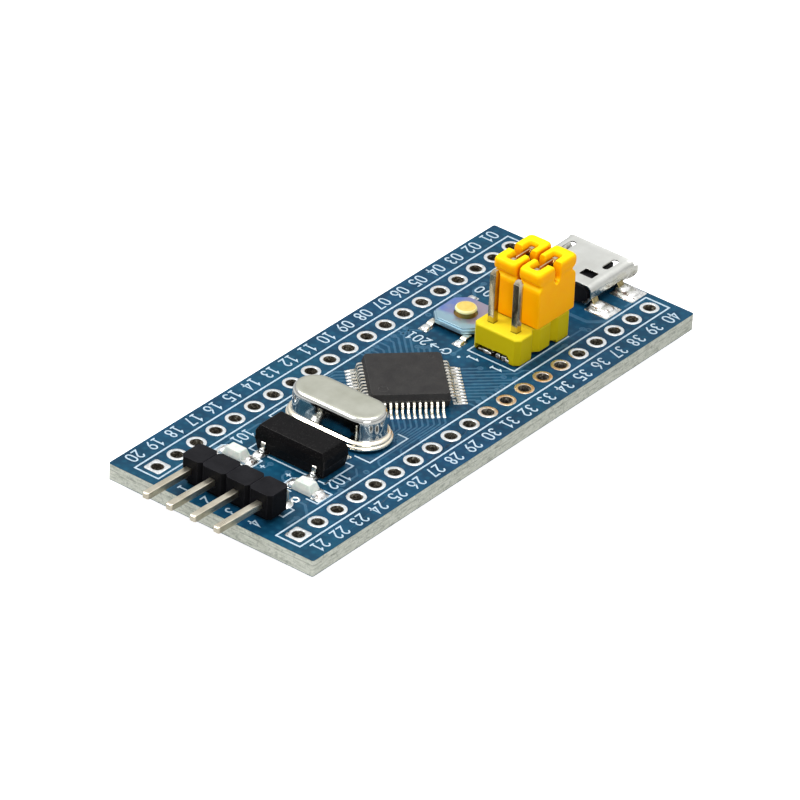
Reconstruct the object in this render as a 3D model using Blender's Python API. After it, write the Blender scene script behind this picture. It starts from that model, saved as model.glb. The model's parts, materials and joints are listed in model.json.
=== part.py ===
# Microcontroller development board: a 22 x 52 mm two-row module with its
# microcontroller, two crystals, two LEDs, a reset button, a debug header, a
# 2 x 3 boot header with two pull-off jumper caps, and a micro-USB receptacle.
#
# Frame: X across the board, +Y towards the USB receptacle, +Z up out of the
# component side. The origin is the centre of the 2 x 20 hole grid, on the
# underside of the board. All numbers are millimetres; MM turns them into
# metres when a mesh is made.
#
# A shape is a list of rings, each ring a list of (x, y, z) points. The shape
# functions return such lists; piece() and boolean() turn them into meshes.

import math

import bmesh
import bpy
from mathutils import Vector

MM = 0.001

# ---------------------------------------------------------------- shared sizes
PITCH = 2.54                  # grid pitch of every header
TOP = 1.6                     # board thickness, also the height of its top face
GAP = 0.02                    # clearance between pieces that touch
REST = TOP + GAP              # lowest face of a piece that rests on the board

PIN = 0.64                    # square pin width
PIN_TIP = 0.34                # width of its blunt ends
PIN_TAPER = 0.3               # length of each tapered end
PIN_BOTTOM = -1.3             # lower end of the header pins
PIN_SLOT = PIN / 2 + 0.03     # half width of an opening around a pin

# ---------------------------------------------------------------- materials


def material(name, color, roughness, metallic=0.0):
    mat = bpy.data.materials.new(name)
    mat.use_nodes = True
    inputs = mat.node_tree.nodes["Principled BSDF"].inputs
    inputs["Base Color"].default_value = (*color, 1.0)
    inputs["Roughness"].default_value = roughness
    inputs["Metallic"].default_value = metallic
    return mat


def metal(name, color, roughness=0.3):
    return material(name, color, roughness, metallic=1.0)


SOLDER_MASK = material("blue_solder_mask", color=(0.010, 0.065, 0.17), roughness=0.35)
MOULD = material("dark_mould_compound", color=(0.035, 0.034, 0.034), roughness=0.6)
TIN = metal("tinned_lead", color=(0.75, 0.75, 0.73))
CAN_STEEL = metal("drawn_steel_can", color=(0.62, 0.60, 0.57))
GLASS = material("seal_glass", color=(0.02, 0.05, 0.05), roughness=0.2)
QUARTZ = material("quartz_blank", color=(0.8, 0.85, 0.85), roughness=0.1)
BLACK = material("black_plastic", color=(0.012, 0.012, 0.013), roughness=0.45)
LENS = material("clear_led_lens", color=(0.75, 0.85, 0.75), roughness=0.2)
CERAMIC = material("white_ceramic", color=(0.8, 0.8, 0.78), roughness=0.5)
COVER_STEEL = metal("switch_cover_steel", color=(0.66, 0.70, 0.76))
CREAM = material("plunger_cream", color=(0.78, 0.62, 0.22), roughness=0.45)
DOME_STEEL = metal("dome_steel", color=(0.7, 0.68, 0.62), roughness=0.25)
YELLOW = material("header_yellow", color=(0.62, 0.50, 0.01), roughness=0.45)
ORANGE = material("jumper_orange", color=(1.0, 0.40, 0.0), roughness=0.4)
BRONZE = metal("clip_bronze", color=(0.75, 0.62, 0.42))
SHELL_STEEL = metal("usb_shell_steel", color=(0.68, 0.68, 0.66), roughness=0.35)
GOLD = metal("contact_gold", color=(0.85, 0.65, 0.25))
RESISTOR = material("resistor_black", color=(0.02, 0.02, 0.022), roughness=0.4)
CAPACITOR = material("capacitor_tan", color=(0.38, 0.24, 0.12), roughness=0.5)

# ---------------------------------------------------------------- single rings


def rectangle(cx, cy, size_x, size_y, z, corner=0.0):
    """A rectangle, with corners cut off at 45 degrees when corner is given."""
    hx, hy = size_x / 2, size_y / 2
    if corner <= 0:
        points = [(-hx, -hy), (hx, -hy), (hx, hy), (-hx, hy)]
    else:
        points = [(-hx + corner, -hy), (hx - corner, -hy), (hx, -hy + corner), (hx, hy - corner),
                  (hx - corner, hy), (-hx + corner, hy), (-hx, hy - corner), (-hx, -hy + corner)]
    return [(cx + x, cy + y, z) for x, y in points]


def circle(cx, cy, radius, z, segments, phase=0.0):
    angles = [phase + 2 * math.pi * i / segments for i in range(segments)]
    return [(cx + radius * math.cos(a), cy + radius * math.sin(a), z) for a in angles]


def stadium(cx, cy, size_x, size_y, z, segments):
    """A slot outline along X, its ends half circles."""
    radius = size_y / 2
    straight = size_x / 2 - radius
    half = segments // 2
    points = []
    for side in (1, -1):
        for i in range(half):
            angle = -math.pi / 2 + math.pi * i / (half - 1)
            points.append((cx + side * (straight + radius * math.cos(angle)),
                           cy + side * radius * math.sin(angle), z))
    return points


# ---------------------------------------------------------------- shapes


def rectangles(cx, cy, stations):
    """Stations are (size in X, size in Y, z) or (size in X, size in Y, z, corner)."""
    return [rectangle(cx, cy, *station) for station in stations]


def circles(cx, cy, stations, segments, phase=0.0):
    """Stations are (radius, z)."""
    return [circle(cx, cy, radius, z, segments, phase) for radius, z in stations]


def box(x0, x1, y0, y1, z0, z1):
    return [rectangle((x0 + x1) / 2, (y0 + y1) / 2, x1 - x0, y1 - y0, z) for z in (z0, z1)]


def prism(outline, z0, z1):
    return [[(x, y, z) for x, y in outline] for z in (z0, z1)]


def extrude_x(section, x0, x1):
    """A section of (y, z) points drawn out along X."""
    return [[(x, y, z) for y, z in section] for x in (x0, x1)]


def turned(rings, centre, angle):
    """Rings drawn about the origin, turned about Z and moved to the centre."""
    c, s = math.cos(angle), math.sin(angle)
    cx, cy = centre
    return [[(cx + c * x - s * y, cy + s * x + c * y, z) for x, y, z in ring] for ring in rings]


def offset_path(path, thickness):
    """Both sides of a band of this thickness whose centre line is the path."""
    steps = []
    for (x0, y0), (x1, y1) in zip(path[:-1], path[1:]):
        length = math.hypot(x1 - x0, y1 - y0)
        steps.append(((x1 - x0) / length, (y1 - y0) / length))
    left, right = [], []
    for i, (x, y) in enumerate(path):
        before = steps[max(i - 1, 0)]
        after = steps[min(i, len(steps) - 1)]
        normal_x, normal_y = -before[1] - after[1], before[0] + after[0]
        length = math.hypot(normal_x, normal_y)
        normal_x, normal_y = normal_x / length, normal_y / length
        # a mitre reaches further than half the thickness, up to a limit
        mitre = 1.0 / max(0.3, -normal_x * before[1] + normal_y * before[0])
        dx, dy = normal_x * mitre * thickness / 2, normal_y * mitre * thickness / 2
        left.append((x + dx, y + dy))
        right.append((x - dx, y - dy))
    return left, right


def strip(path, thickness, width, origin, out):
    """A bent strip. The path is (distance from the origin along out, height)."""
    start = Vector((origin[0], origin[1], 0.0))
    along = Vector((out[0], out[1], 0.0)).normalized()
    across = Vector((-along.y, along.x, 0.0))

    def place(distance, height, offset):
        point = start + along * distance + across * offset
        return (point.x, point.y, point.z + height)

    half = width / 2
    return [[place(*a, -half), place(*a, half), place(*b, half), place(*b, -half)]
            for a, b in zip(*offset_path(path, thickness))]


# ---------------------------------------------------------------- objects


def add_loft(bm, rings, closed):
    """Bridge the rings, then cap the ends or, if closed, join last to first."""
    loops = [[bm.verts.new(point) for point in ring] for ring in rings]
    count = len(loops[0])
    pairs = list(zip(loops[:-1], loops[1:]))
    if closed:
        pairs.append((loops[-1], loops[0]))
    for a, b in pairs:
        for i in range(count):
            j = (i + 1) % count
            bm.faces.new((a[i], a[j], b[j], b[i]))
    if not closed:
        bm.faces.new(loops[0])
        bm.faces.new(list(reversed(loops[-1])))


def make_object(name, shapes, mat, closed=False):
    """One object in metres from one or more shapes in millimetres."""
    bm = bmesh.new()
    for rings in shapes:
        add_loft(bm, rings, closed)
    bmesh.ops.remove_doubles(bm, verts=bm.verts, dist=1e-5)
    bmesh.ops.recalc_face_normals(bm, faces=bm.faces)
    bmesh.ops.scale(bm, vec=(MM, MM, MM), verts=bm.verts)
    mesh = bpy.data.meshes.new(name)
    bm.to_mesh(mesh)
    bm.free()
    mesh.materials.append(mat)
    ob = bpy.data.objects.new(name, mesh)
    bpy.context.scene.collection.objects.link(ob)
    return ob


def piece(name, rings, mat, smooth=None, closed=False):
    """One solid; smooth is the angle in degrees above which edges stay sharp."""
    ob = make_object(name, [rings], mat, closed)
    if smooth is not None:
        ob.data.shade_smooth()
        ob.data.set_sharp_from_angle(angle=math.radians(smooth))
    return ob


def boolean(ob, shapes, operation="DIFFERENCE"):
    """Apply one exact Boolean with all the shapes together."""
    cutter = make_object("cutter", shapes, ob.data.materials[0])
    cutter.hide_render = True
    mod = ob.modifiers.new("cut", "BOOLEAN")
    mod.operation = operation
    mod.solver = "EXACT"
    mod.object = cutter
    mod.use_self = True
    depsgraph = bpy.context.evaluated_depsgraph_get()
    depsgraph.update()
    result = bpy.data.meshes.new_from_object(ob.evaluated_get(depsgraph))
    ob.modifiers.clear()
    uncut, ob.data = ob.data, result
    bpy.data.meshes.remove(uncut)
    result.name = ob.name
    cutter_mesh = cutter.data
    bpy.data.objects.remove(cutter, do_unlink=True)
    bpy.data.meshes.remove(cutter_mesh)


# ---------------------------------------------------------------- main crystal places
# These and the header places come first because the board is drilled for them.
HC_CENTRE = (-0.27, -9.05)
HC_LEAD_PITCH = 4.88
HC_LEAD_X = [HC_CENTRE[0] + side * HC_LEAD_PITCH / 2 for side in (-1, 1)]

BOOT_X = (1.42, 1.42 + PITCH)
BOOT_Y = (9.65, 9.65 + PITCH, 9.65 + 2 * PITCH)
DEBUG_X = [PITCH * (i - 1.5) for i in range(4)]
DEBUG_HOLE_Y = -21.4

# ---------------------------------------------------------------- the board
BOARD_X0, BOARD_X1 = -11.05, 11.05
BOARD_Y0, BOARD_Y1 = -26.4, 26.05
BOARD_CORNER_R = 0.2
ROW_X = 3 * PITCH             # header rows at -ROW_X and +ROW_X
ROW_COUNT = 20
ROW_HOLE_D = 1.12             # drilled diameter before plating, header rows
PART_HOLE_D = 1.04            # drilled diameter, component pins
HOLE_SEGMENTS = 12


def board_outline():
    r = BOARD_CORNER_R
    corners = ((BOARD_X1 - r, BOARD_Y0 + r, -90), (BOARD_X1 - r, BOARD_Y1 - r, 0),
               (BOARD_X0 + r, BOARD_Y1 - r, 90), (BOARD_X0 + r, BOARD_Y0 + r, 180))
    points = []
    for cx, cy, first_angle in corners:
        for step in range(4):
            angle = math.radians(first_angle + 30 * step)
            points.append((cx + r * math.cos(angle), cy + r * math.sin(angle)))
    return points


def drills(places, diameter):
    stations = [(diameter / 2, z) for z in (-0.5, TOP + 0.5)]
    return [circles(x, y, stations, HOLE_SEGMENTS, math.pi / HOLE_SEGMENTS) for x, y in places]


def build_board():
    pcb = piece("pcb", prism(board_outline(), 0.0, TOP), SOLDER_MASK)
    row_holes = [(side * ROW_X, PITCH * ((ROW_COUNT - 1) / 2 - i))
                 for side in (-1, 1) for i in range(ROW_COUNT)]
    part_holes = [(x, y) for x in BOOT_X for y in BOOT_Y]
    part_holes += [(x, DEBUG_HOLE_Y) for x in DEBUG_X]
    part_holes += [(x, HC_CENTRE[1]) for x in HC_LEAD_X]
    boolean(pcb, drills(row_holes, ROW_HOLE_D) + drills(part_holes, PART_HOLE_D))


# ---------------------------------------------------------------- microcontroller
MCU_CENTRE = (0.0, -0.35)
MCU_TURN = math.radians(45)
MCU_SIDE = 7.0
MCU_TIP_SPAN = 9.0            # across opposite lead tips
MCU_SIDE_LEADS = 12
MCU_LEAD_PITCH = 0.5
MCU_Z0 = TOP + 0.1
MCU_Z1 = MCU_Z0 + 1.4
MCU_MID = (MCU_Z0 + MCU_Z1) / 2
# (side, z, corner): a groove runs round the middle for the lead frame
MCU_BODY = (
    (6.72, MCU_Z0, 0.18), (MCU_SIDE, MCU_MID - 0.12, 0.2), (6.0, MCU_MID - 0.12, 0.2),
    (6.0, MCU_MID + 0.12, 0.2), (MCU_SIDE, MCU_MID + 0.12, 0.2), (6.72, MCU_Z1, 0.18))
# (side, z) round the section of the square ring inside the groove
MCU_FRAME = ((6.74, MCU_MID - 0.09), (6.74, MCU_MID + 0.09),
             (6.08, MCU_MID + 0.09), (6.08, MCU_MID - 0.09))
# (distance from the centre, z): out of the body, down, flat over the board
MCU_LEAD_PATH = ((3.2, MCU_MID), (3.72, MCU_MID), (3.86, MCU_MID - 0.12),
                 (3.98, TOP + 0.22), (4.1, TOP + 0.1), (MCU_TIP_SPAN / 2, TOP + 0.1))


def mcu_leads():
    leads = []
    for quarter in range(4):
        angle = MCU_TURN + quarter * math.pi / 2
        out = (math.cos(angle), math.sin(angle))
        for i in range(MCU_SIDE_LEADS):
            offset = (i - (MCU_SIDE_LEADS - 1) / 2) * MCU_LEAD_PITCH
            origin = (MCU_CENTRE[0] - out[1] * offset, MCU_CENTRE[1] + out[0] * offset)
            leads.append(strip(MCU_LEAD_PATH, 0.14, 0.22, origin, out))
    return leads


def build_mcu():
    body = rectangles(0, 0, [(side, side, z, corner) for side, z, corner in MCU_BODY])
    piece("mcu_package", turned(body, MCU_CENTRE, MCU_TURN), MOULD)
    ring = rectangles(0, 0, [(side, side, z) for side, z in MCU_FRAME])
    frame = piece("mcu_lead_frame", turned(ring, MCU_CENTRE, MCU_TURN), TIN, closed=True)
    boolean(frame, mcu_leads(), "UNION")


# ---------------------------------------------------------------- main crystal
HC_CAN = (9.22, 3.62)
HC_FLANGE = (10.2, 4.6)
HC_Z0 = TOP + 0.14
HC_Z1 = TOP + 2.97
HC_SEAL_R = 0.64
# (outline, amount added to both sizes, z): down the cavity, then up the outside
HC_PROFILE = (
    (HC_CAN, -0.6, HC_Z1 - 0.3), (HC_CAN, -0.56, HC_Z0),
    (HC_FLANGE, 0.0, HC_Z0), (HC_FLANGE, 0.08, HC_Z0 + 0.22), (HC_FLANGE, 0.0, HC_Z0 + 0.42),
    (HC_CAN, 0.5, HC_Z0 + 0.58), (HC_CAN, 0.04, HC_Z0 + 0.78), (HC_CAN, 0.0, HC_Z1 - 0.34),
    (HC_CAN, -0.2, HC_Z1 - 0.1), (HC_CAN, -0.6, HC_Z1))
# (radius, z) round the section of a glass seal, and up a lead
HC_SEAL = ((HC_SEAL_R, HC_Z0 + 0.03), (HC_SEAL_R, HC_Z0 + 0.38),
           (0.25, HC_Z0 + 0.38), (0.25, HC_Z0 + 0.03))
HC_LEAD = ((0.12, -1.0), (0.22, -0.9), (0.22, TOP + 1.0), (0.1, TOP + 1.1))


def build_main_crystal():
    cx, cy = HC_CENTRE
    piece("hc49_can", [stadium(cx, cy, size[0] + extra, size[1] + extra, z, 28)
                       for size, extra, z in HC_PROFILE], CAN_STEEL, smooth=35)

    base = piece("hc49_base", [stadium(cx, cy, HC_CAN[0] - 0.66, HC_CAN[1] - 0.66, z, 20)
                               for z in (HC_Z0 + 0.02, HC_Z0 + 0.4)], CAN_STEEL)
    seal_hole = [(HC_SEAL_R + GAP, z) for z in (HC_Z0 - 0.3, HC_Z0 + 0.8)]
    boolean(base, [circles(x, cy, seal_hole, 16) for x in HC_LEAD_X])

    for i, x in enumerate(HC_LEAD_X, 1):
        piece(f"hc49_glass_seal_{i}", circles(x, cy, HC_SEAL, 16), GLASS, closed=True)
        piece(f"hc49_lead_{i}", circles(x, cy, HC_LEAD, 12), TIN)

    blank = box(cx - 3.7, cx + 3.7, cy - 0.85, cy + 0.85, TOP + 1.14, TOP + 1.34)
    piece("hc49_quartz_blank", blank, QUARTZ)


# ---------------------------------------------------------------- clock crystal
CLOCK_CENTRE = (0.33, -14.87)
CLOCK_LEAD_PITCH = 5.5
# (size in X, size in Y, z, corner)
CLOCK_BODY = (
    (7.1, 3.05, TOP + 0.06, 0.06), (7.6, 3.34, TOP + 1.15, 0.06), (7.56, 3.32, TOP + 1.9, 0.06),
    (7.4, 3.2, TOP + 2.22, 0.06), (6.62, 2.66, TOP + 2.5, 0.06))
# (distance from the body centre line, z)
CLOCK_LEAD_PATH = ((1.2, TOP + 1.1), (1.82, TOP + 1.1), (1.9, TOP + 0.98),
                   (1.9, TOP + 0.3), (2.02, TOP + 0.11), (2.5, TOP + 0.11))


def build_clock_crystal():
    cx, cy = CLOCK_CENTRE
    body = piece("clock_crystal_body", rectangles(cx, cy, CLOCK_BODY), BLACK)
    leads = [(cx + side_x * CLOCK_LEAD_PITCH / 2, side_y)
             for side_y in (-1, 1) for side_x in (-1, 1)]
    pockets = []
    for x, side_y in leads:
        y0, y1 = sorted((cy + side_y * 1.1, cy + side_y * 2.2))
        pockets.append(box(x - 0.27, x + 0.27, y0, y1, TOP + 0.98, TOP + 1.22))
    boolean(body, pockets)
    for i, (x, side_y) in enumerate(leads, 1):
        lead = strip(CLOCK_LEAD_PATH, 0.16, 0.46, (x, cy), (0, side_y))
        piece(f"clock_crystal_lead_{i}", lead, TIN)


# ---------------------------------------------------------------- indicator LEDs
LEDS = (("status", -3.72, -18.55), ("power", 3.88, -18.6))
# (size in X, size in Y, z), with a corner cut on the lens
LED_BASE = ((2.9, 1.25, REST), (2.9, 1.25, TOP + 0.3))
LED_LENS = ((2.1, 1.25, TOP + 0.32, 0.05), (1.95, 1.2, TOP + 0.62, 0.05),
            (1.35, 0.9, TOP + 0.98, 0.05))


def build_leds():
    for name, x, y in LEDS:
        piece(f"{name}_led_base", rectangles(x, y, LED_BASE), CERAMIC)
        piece(f"{name}_led_lens", rectangles(x, y, LED_LENS), LENS)


# ---------------------------------------------------------------- reset button
RESET_CENTRE = (-2.85, 11.5)
RESET_BASE = 4.9
RESET_COVER = 4.75
RESET_CORNER = 0.95
RESET_LEG_PITCH = 3.7
RESET_LEG_X = [RESET_CENTRE[0] + side * RESET_LEG_PITCH / 2 for side in (-1, 1)]
RESET_LEG_SPAN = 6.6          # across opposite leg tips
RESET_BAR_Y = 1.5             # contact bars lie this far either side of centre
PLUNGER_R = 1.95 / 2
PLUNGER_TOP = TOP + 1.5
# (distance from the centre, z)
RESET_LEG_PATH = ((1.5, TOP + 0.26), (2.62, TOP + 0.26), (2.86, TOP + 0.14),
                  (RESET_LEG_SPAN / 2, TOP + 0.1))
RESET_COVER_STATIONS = (      # (size in X, size in Y, z, corner)
    (RESET_COVER, RESET_COVER, TOP + 0.78, RESET_CORNER),
    (RESET_COVER, RESET_COVER, TOP + 0.86, RESET_CORNER),
    (RESET_COVER - 0.1, RESET_COVER - 0.1, TOP + 0.9, 0.94))
# (radius, z) from the rim up
DOME_PROFILE = ((1.6, TOP + 0.36), (1.3, TOP + 0.45), (0.8, TOP + 0.56), (0.3, TOP + 0.6))
PLUNGER_PROFILE = (
    (1.25, TOP + 0.672), (1.25, TOP + 0.76), (PLUNGER_R, TOP + 0.76),
    (PLUNGER_R, PLUNGER_TOP - 0.14), (PLUNGER_R - 0.12, PLUNGER_TOP))


def build_reset_base():
    """The base, with a round well and channels for the contact strips."""
    cx, cy = RESET_CENTRE
    base = piece("reset_base", rectangles(cx, cy, [
        (RESET_BASE, RESET_BASE, z, RESET_CORNER) for z in (TOP + 0.05, TOP + 0.72)]), BLACK)
    # the floors differ by a hair so that no two cutter faces coincide
    cuts = [circles(cx, cy, ((1.72, TOP + 0.17), (1.72, TOP + 1.2)), 24)]
    for side in (1, -1):
        y = cy + side * RESET_BAR_Y
        cuts.append(box(RESET_LEG_X[0] - 0.5, RESET_LEG_X[1] + 0.5, y - 0.4, y + 0.4,
                        TOP + 0.172, TOP + 0.5))
    for x in RESET_LEG_X:
        cuts.append(box(x - 0.42, x + 0.42, cy - 3.2, cy + 3.2, TOP + 0.174, TOP + 0.46))
    boolean(base, cuts)


def build_reset_contacts():
    """Two contact strips, each a bar along X with a leg at each end."""
    cx, cy = RESET_CENTRE
    for name, side in (("reset_contact_front", -1), ("reset_contact_back", 1)):
        y = cy + side * RESET_BAR_Y
        bar = box(RESET_LEG_X[0] - 0.34, RESET_LEG_X[1] + 0.34, y - 0.3, y + 0.3,
                  TOP + 0.2, TOP + 0.32)
        contact = piece(name, bar, TIN)
        legs = [strip(RESET_LEG_PATH, 0.1, 0.62, (x, cy), (0, side)) for x in RESET_LEG_X]
        boolean(contact, legs, "UNION")


def build_reset_dome():
    cx, cy = RESET_CENTRE
    under = circles(cx, cy, [(radius - 0.02, z) for radius, z in reversed(DOME_PROFILE)], 24)
    over = circles(cx, cy, [(radius, z + 0.05) for radius, z in DOME_PROFILE], 24)
    piece("reset_dome", under + over, DOME_STEEL, smooth=40)


def build_reset_cover():
    cx, cy = RESET_CENTRE
    cover = piece("reset_cover", rectangles(cx, cy, RESET_COVER_STATIONS), COVER_STEEL)
    hole = [(PLUNGER_R + 0.08, z) for z in (TOP + 0.5, TOP + 1.5)]
    boolean(cover, [circles(cx, cy, hole, 32)])


def build_reset_plunger():
    """The plunger, with its origin on its own axis."""
    plunger = piece("reset_plunger", circles(0, 0, PLUNGER_PROFILE, 32), CREAM, smooth=35)
    plunger.location = (RESET_CENTRE[0] * MM, RESET_CENTRE[1] * MM, 0.0)


# ---------------------------------------------------------------- boot header
BOOT_X0, BOOT_X1 = 0.2, 5.22
BOOT_Y0, BOOT_Y1 = 8.4, 15.98
BOOT_TOP = TOP + 2.7
BOOT_PIN_TOP = TOP + 7.85
BOOT_CORNER = 0.55
BOOT_NOTCH = 0.42             # depth and half width of the V notches


def boot_outline(inset=0.0):
    """Outline with a V notch between positions on both long sides."""
    notch = BOOT_NOTCH
    right = [(BOOT_X1, BOOT_Y0 + BOOT_CORNER)]
    for y in ((BOOT_Y[0] + BOOT_Y[1]) / 2, (BOOT_Y[1] + BOOT_Y[2]) / 2):
        right += [(BOOT_X1, y - notch), (BOOT_X1 - notch, y), (BOOT_X1, y + notch)]
    right += [(BOOT_X1, BOOT_Y1 - BOOT_CORNER)]
    left = [(BOOT_X0 + BOOT_X1 - x, y) for x, y in reversed(right)]
    outline = ([(BOOT_X0 + BOOT_CORNER, BOOT_Y0), (BOOT_X1 - BOOT_CORNER, BOOT_Y0)] + right
               + [(BOOT_X1 - BOOT_CORNER, BOOT_Y1), (BOOT_X0 + BOOT_CORNER, BOOT_Y1)] + left)
    # the inset shrinks the outline about its centre
    cx, cy = (BOOT_X0 + BOOT_X1) / 2, (BOOT_Y0 + BOOT_Y1) / 2
    scale_x = 1 - inset / ((BOOT_X1 - BOOT_X0) / 2)
    scale_y = 1 - inset / ((BOOT_Y1 - BOOT_Y0) / 2)
    return [(cx + (x - cx) * scale_x, cy + (y - cy) * scale_y) for x, y in outline]


def build_boot_header():
    places = [(x, y) for x in BOOT_X for y in BOOT_Y]
    sides = prism(boot_outline(), REST, BOOT_TOP - 0.16)
    top_ring = [(x, y, BOOT_TOP) for x, y in boot_outline(0.14)]
    body = piece("boot_header_body", sides + [top_ring], YELLOW)
    cuts = [box(x - PIN_SLOT, x + PIN_SLOT, y - PIN_SLOT, y + PIN_SLOT, TOP - 1, TOP + 4)
            for x, y in places]
    # a channel along the underside
    cuts.append(box(BOOT_X0 + 0.7, BOOT_X1 - 0.7, BOOT_Y0 - 1, BOOT_Y1 + 1,
                    TOP - 1.2, TOP + 0.42))
    boolean(body, cuts)
    for i, (x, y) in enumerate(places, 1):
        piece(f"boot_pin_{i}", rectangles(x, y, (
            (PIN_TIP, PIN_TIP, PIN_BOTTOM), (PIN, PIN, PIN_BOTTOM + PIN_TAPER),
            (PIN, PIN, BOOT_PIN_TOP - PIN_TAPER), (PIN_TIP, PIN_TIP, BOOT_PIN_TOP))), TIN)


# ---------------------------------------------------------------- jumper caps
CAP_X = (1.33, 4.06)
CAP_Y = (BOOT_Y[1] + BOOT_Y[2]) / 2
CAP_SIZE_X = 2.44
CAP_SIZE_Y = 5.02
CAP_Z0 = BOOT_TOP + GAP
CAP_Z1 = TOP + 8.12
CAP_LIP_Z = CAP_Z1 - 1.25     # underside of the grip lips
CAP_SLOT_Z = CAP_Z1 - 2.1     # floor of the side slot
# (amount off the X size, amount off the Y size, z, corner)
CAP_STATIONS = (
    (0.12, 0.12, CAP_Z0, 0.12), (0.0, 0.0, CAP_Z0 + 0.1, 0.12),
    (0.0, 0.0, CAP_LIP_Z - 0.55, 0.12), (0.1, 0.55, CAP_LIP_Z - 0.3, 0.12),
    (0.1, 0.55, CAP_LIP_Z, 0.12), (0.0, -0.12, CAP_LIP_Z + 0.3, 0.3),
    (0.0, -0.12, CAP_Z1 - 0.25, 0.4), (0.22, 0.1, CAP_Z1, 0.4))
# (y, z) section of the slot that crosses the cap along X
CAP_SLOT = (
    (CAP_Y - 0.7, CAP_Z1 + 1), (CAP_Y - 0.7, CAP_SLOT_Z + 0.6), (CAP_Y - 0.3, CAP_SLOT_Z),
    (CAP_Y + 0.3, CAP_SLOT_Z), (CAP_Y + 0.7, CAP_SLOT_Z + 0.6), (CAP_Y + 0.7, CAP_Z1 + 1))
CLIP_T = 0.15


def clip_outline(pin_x):
    """A web between two pins with a three-sided sleeve on each."""
    web, inside, outside = CLIP_T / 2, PIN_SLOT, PIN_SLOT + CLIP_T
    # (x, y) from the -Y pin: its sleeve, open towards -Y
    sleeve = ((-web, outside), (-outside, outside), (-outside, -0.3), (-inside, -0.3),
              (-inside, inside), (inside, inside), (inside, -0.3), (outside, -0.3),
              (outside, outside), (web, outside))
    near = [(pin_x + x, BOOT_Y[1] + y) for x, y in sleeve]
    far = [(pin_x - x, BOOT_Y[2] - y) for x, y in sleeve]
    return near + far


def build_jumper_caps():
    for i, (cx, pin_x) in enumerate(zip(CAP_X, BOOT_X), 1):
        cap = piece(f"jumper_cap_{i}", rectangles(cx, CAP_Y, [
            (CAP_SIZE_X - less_x, CAP_SIZE_Y - less_y, z, corner)
            for less_x, less_y, z, corner in CAP_STATIONS]), ORANGE)
        boolean(cap, [box(pin_x - 0.56, pin_x + 0.56, BOOT_Y[1] - 0.56, BOOT_Y[2] + 0.56,
                          CAP_Z0 - 1, CAP_Z1 + 1)])
        boolean(cap, [extrude_x(CAP_SLOT, cx - 3, cx + 3)])
        clip = prism(clip_outline(pin_x), CAP_Z0 + 0.3, CAP_Z1 - 0.25)
        piece(f"jumper_clip_{i}", clip, BRONZE)


# ---------------------------------------------------------------- debug header
DEBUG_X0, DEBUG_X1 = -4.7, 4.98
DEBUG_Y0, DEBUG_Y1 = -24.7, -22.2
DEBUG_TOP = TOP + 2.75
DEBUG_AXIS = TOP + 1.55       # height of the level part of the pins
DEBUG_TIP_Y = -29.95
DEBUG_NOTCH = 0.22            # depth and half width of the V notches


def debug_outline():
    """Outline with a V notch between positions on both long sides."""
    notch = DEBUG_NOTCH
    near = [(DEBUG_X0, DEBUG_Y0)]
    for a, b in zip(DEBUG_X[:-1], DEBUG_X[1:]):
        x = (a + b) / 2
        near += [(x - notch, DEBUG_Y0), (x, DEBUG_Y0 + notch), (x + notch, DEBUG_Y0)]
    near += [(DEBUG_X1, DEBUG_Y0)]
    far = [(x, DEBUG_Y0 + DEBUG_Y1 - y) for x, y in reversed(near)]
    return near + far


def debug_pin(x):
    """A right-angle pin: level from its -Y tip, then down through the board."""
    half = PIN / 2
    hole_y, axis = DEBUG_HOLE_Y, DEBUG_AXIS
    rings = []
    for y, r in ((DEBUG_TIP_Y, PIN_TIP / 2), (DEBUG_TIP_Y + PIN_TAPER, half),
                 (hole_y - 0.62, half)):
        rings.append([(x - r, y, axis - r), (x + r, y, axis - r),
                      (x + r, y, axis + r), (x - r, y, axis + r)])
    # the elbow
    low_y, low_z = hole_y - half, axis - half - 0.1
    high_y, high_z = hole_y + 0.12, axis + half - 0.12
    rings.append([(x - half, low_y, low_z), (x + half, low_y, low_z),
                  (x + half, high_y, high_z), (x - half, high_y, high_z)])
    return rings + rectangles(x, hole_y, (
        (PIN, PIN, axis - half - 0.3), (PIN, PIN, PIN_BOTTOM + PIN_TAPER),
        (PIN_TIP, PIN_TIP, PIN_BOTTOM)))


def build_debug_header():
    body = piece("debug_header_body", prism(debug_outline(), TOP + 0.1, DEBUG_TOP), BLACK)
    boolean(body, [box(x - PIN_SLOT, x + PIN_SLOT, DEBUG_Y0 - 1, DEBUG_Y1 + 1,
                       DEBUG_AXIS - PIN_SLOT, DEBUG_AXIS + PIN_SLOT) for x in DEBUG_X])
    for i, x in enumerate(DEBUG_X, 1):
        piece(f"debug_pin_{i}", debug_pin(x), TIN)


# ---------------------------------------------------------------- micro-USB
USB_X = 0.45                  # centre line
USB_HALF_WIDTH = 3.55
USB_Y0, USB_Y1 = 20.4, 26.2
USB_TOP = TOP + 2.2
USB_BOTTOM = TOP + 0.05
USB_SHEET = 0.13
# (y, flare) from the -Y end to the lip of the mouth
USB_STATIONS = ((USB_Y0, 0.0), (USB_Y1 - 0.15, 0.0), (USB_Y1 + 0.1, 0.06), (26.85, 0.34))
# (distance of its centre from the centre line, half width, y0, y1)
USB_WINDOWS = ((2.34, 0.37, 24.0, 25.65), (1.87, 0.72, 21.65, 22.75))
USB_TAB_Y = (21.05, 24.7)
# (distance from the centre line, z)
USB_TAB_PATH = (
    (USB_HALF_WIDTH - 0.17, TOP + 0.86), (USB_HALF_WIDTH + 0.1, TOP + 0.72),
    (USB_HALF_WIDTH + 0.45, TOP + 0.22), (USB_HALF_WIDTH + 0.62, TOP + 0.12),
    (USB_HALF_WIDTH + 1.2, TOP + 0.11))
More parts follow.
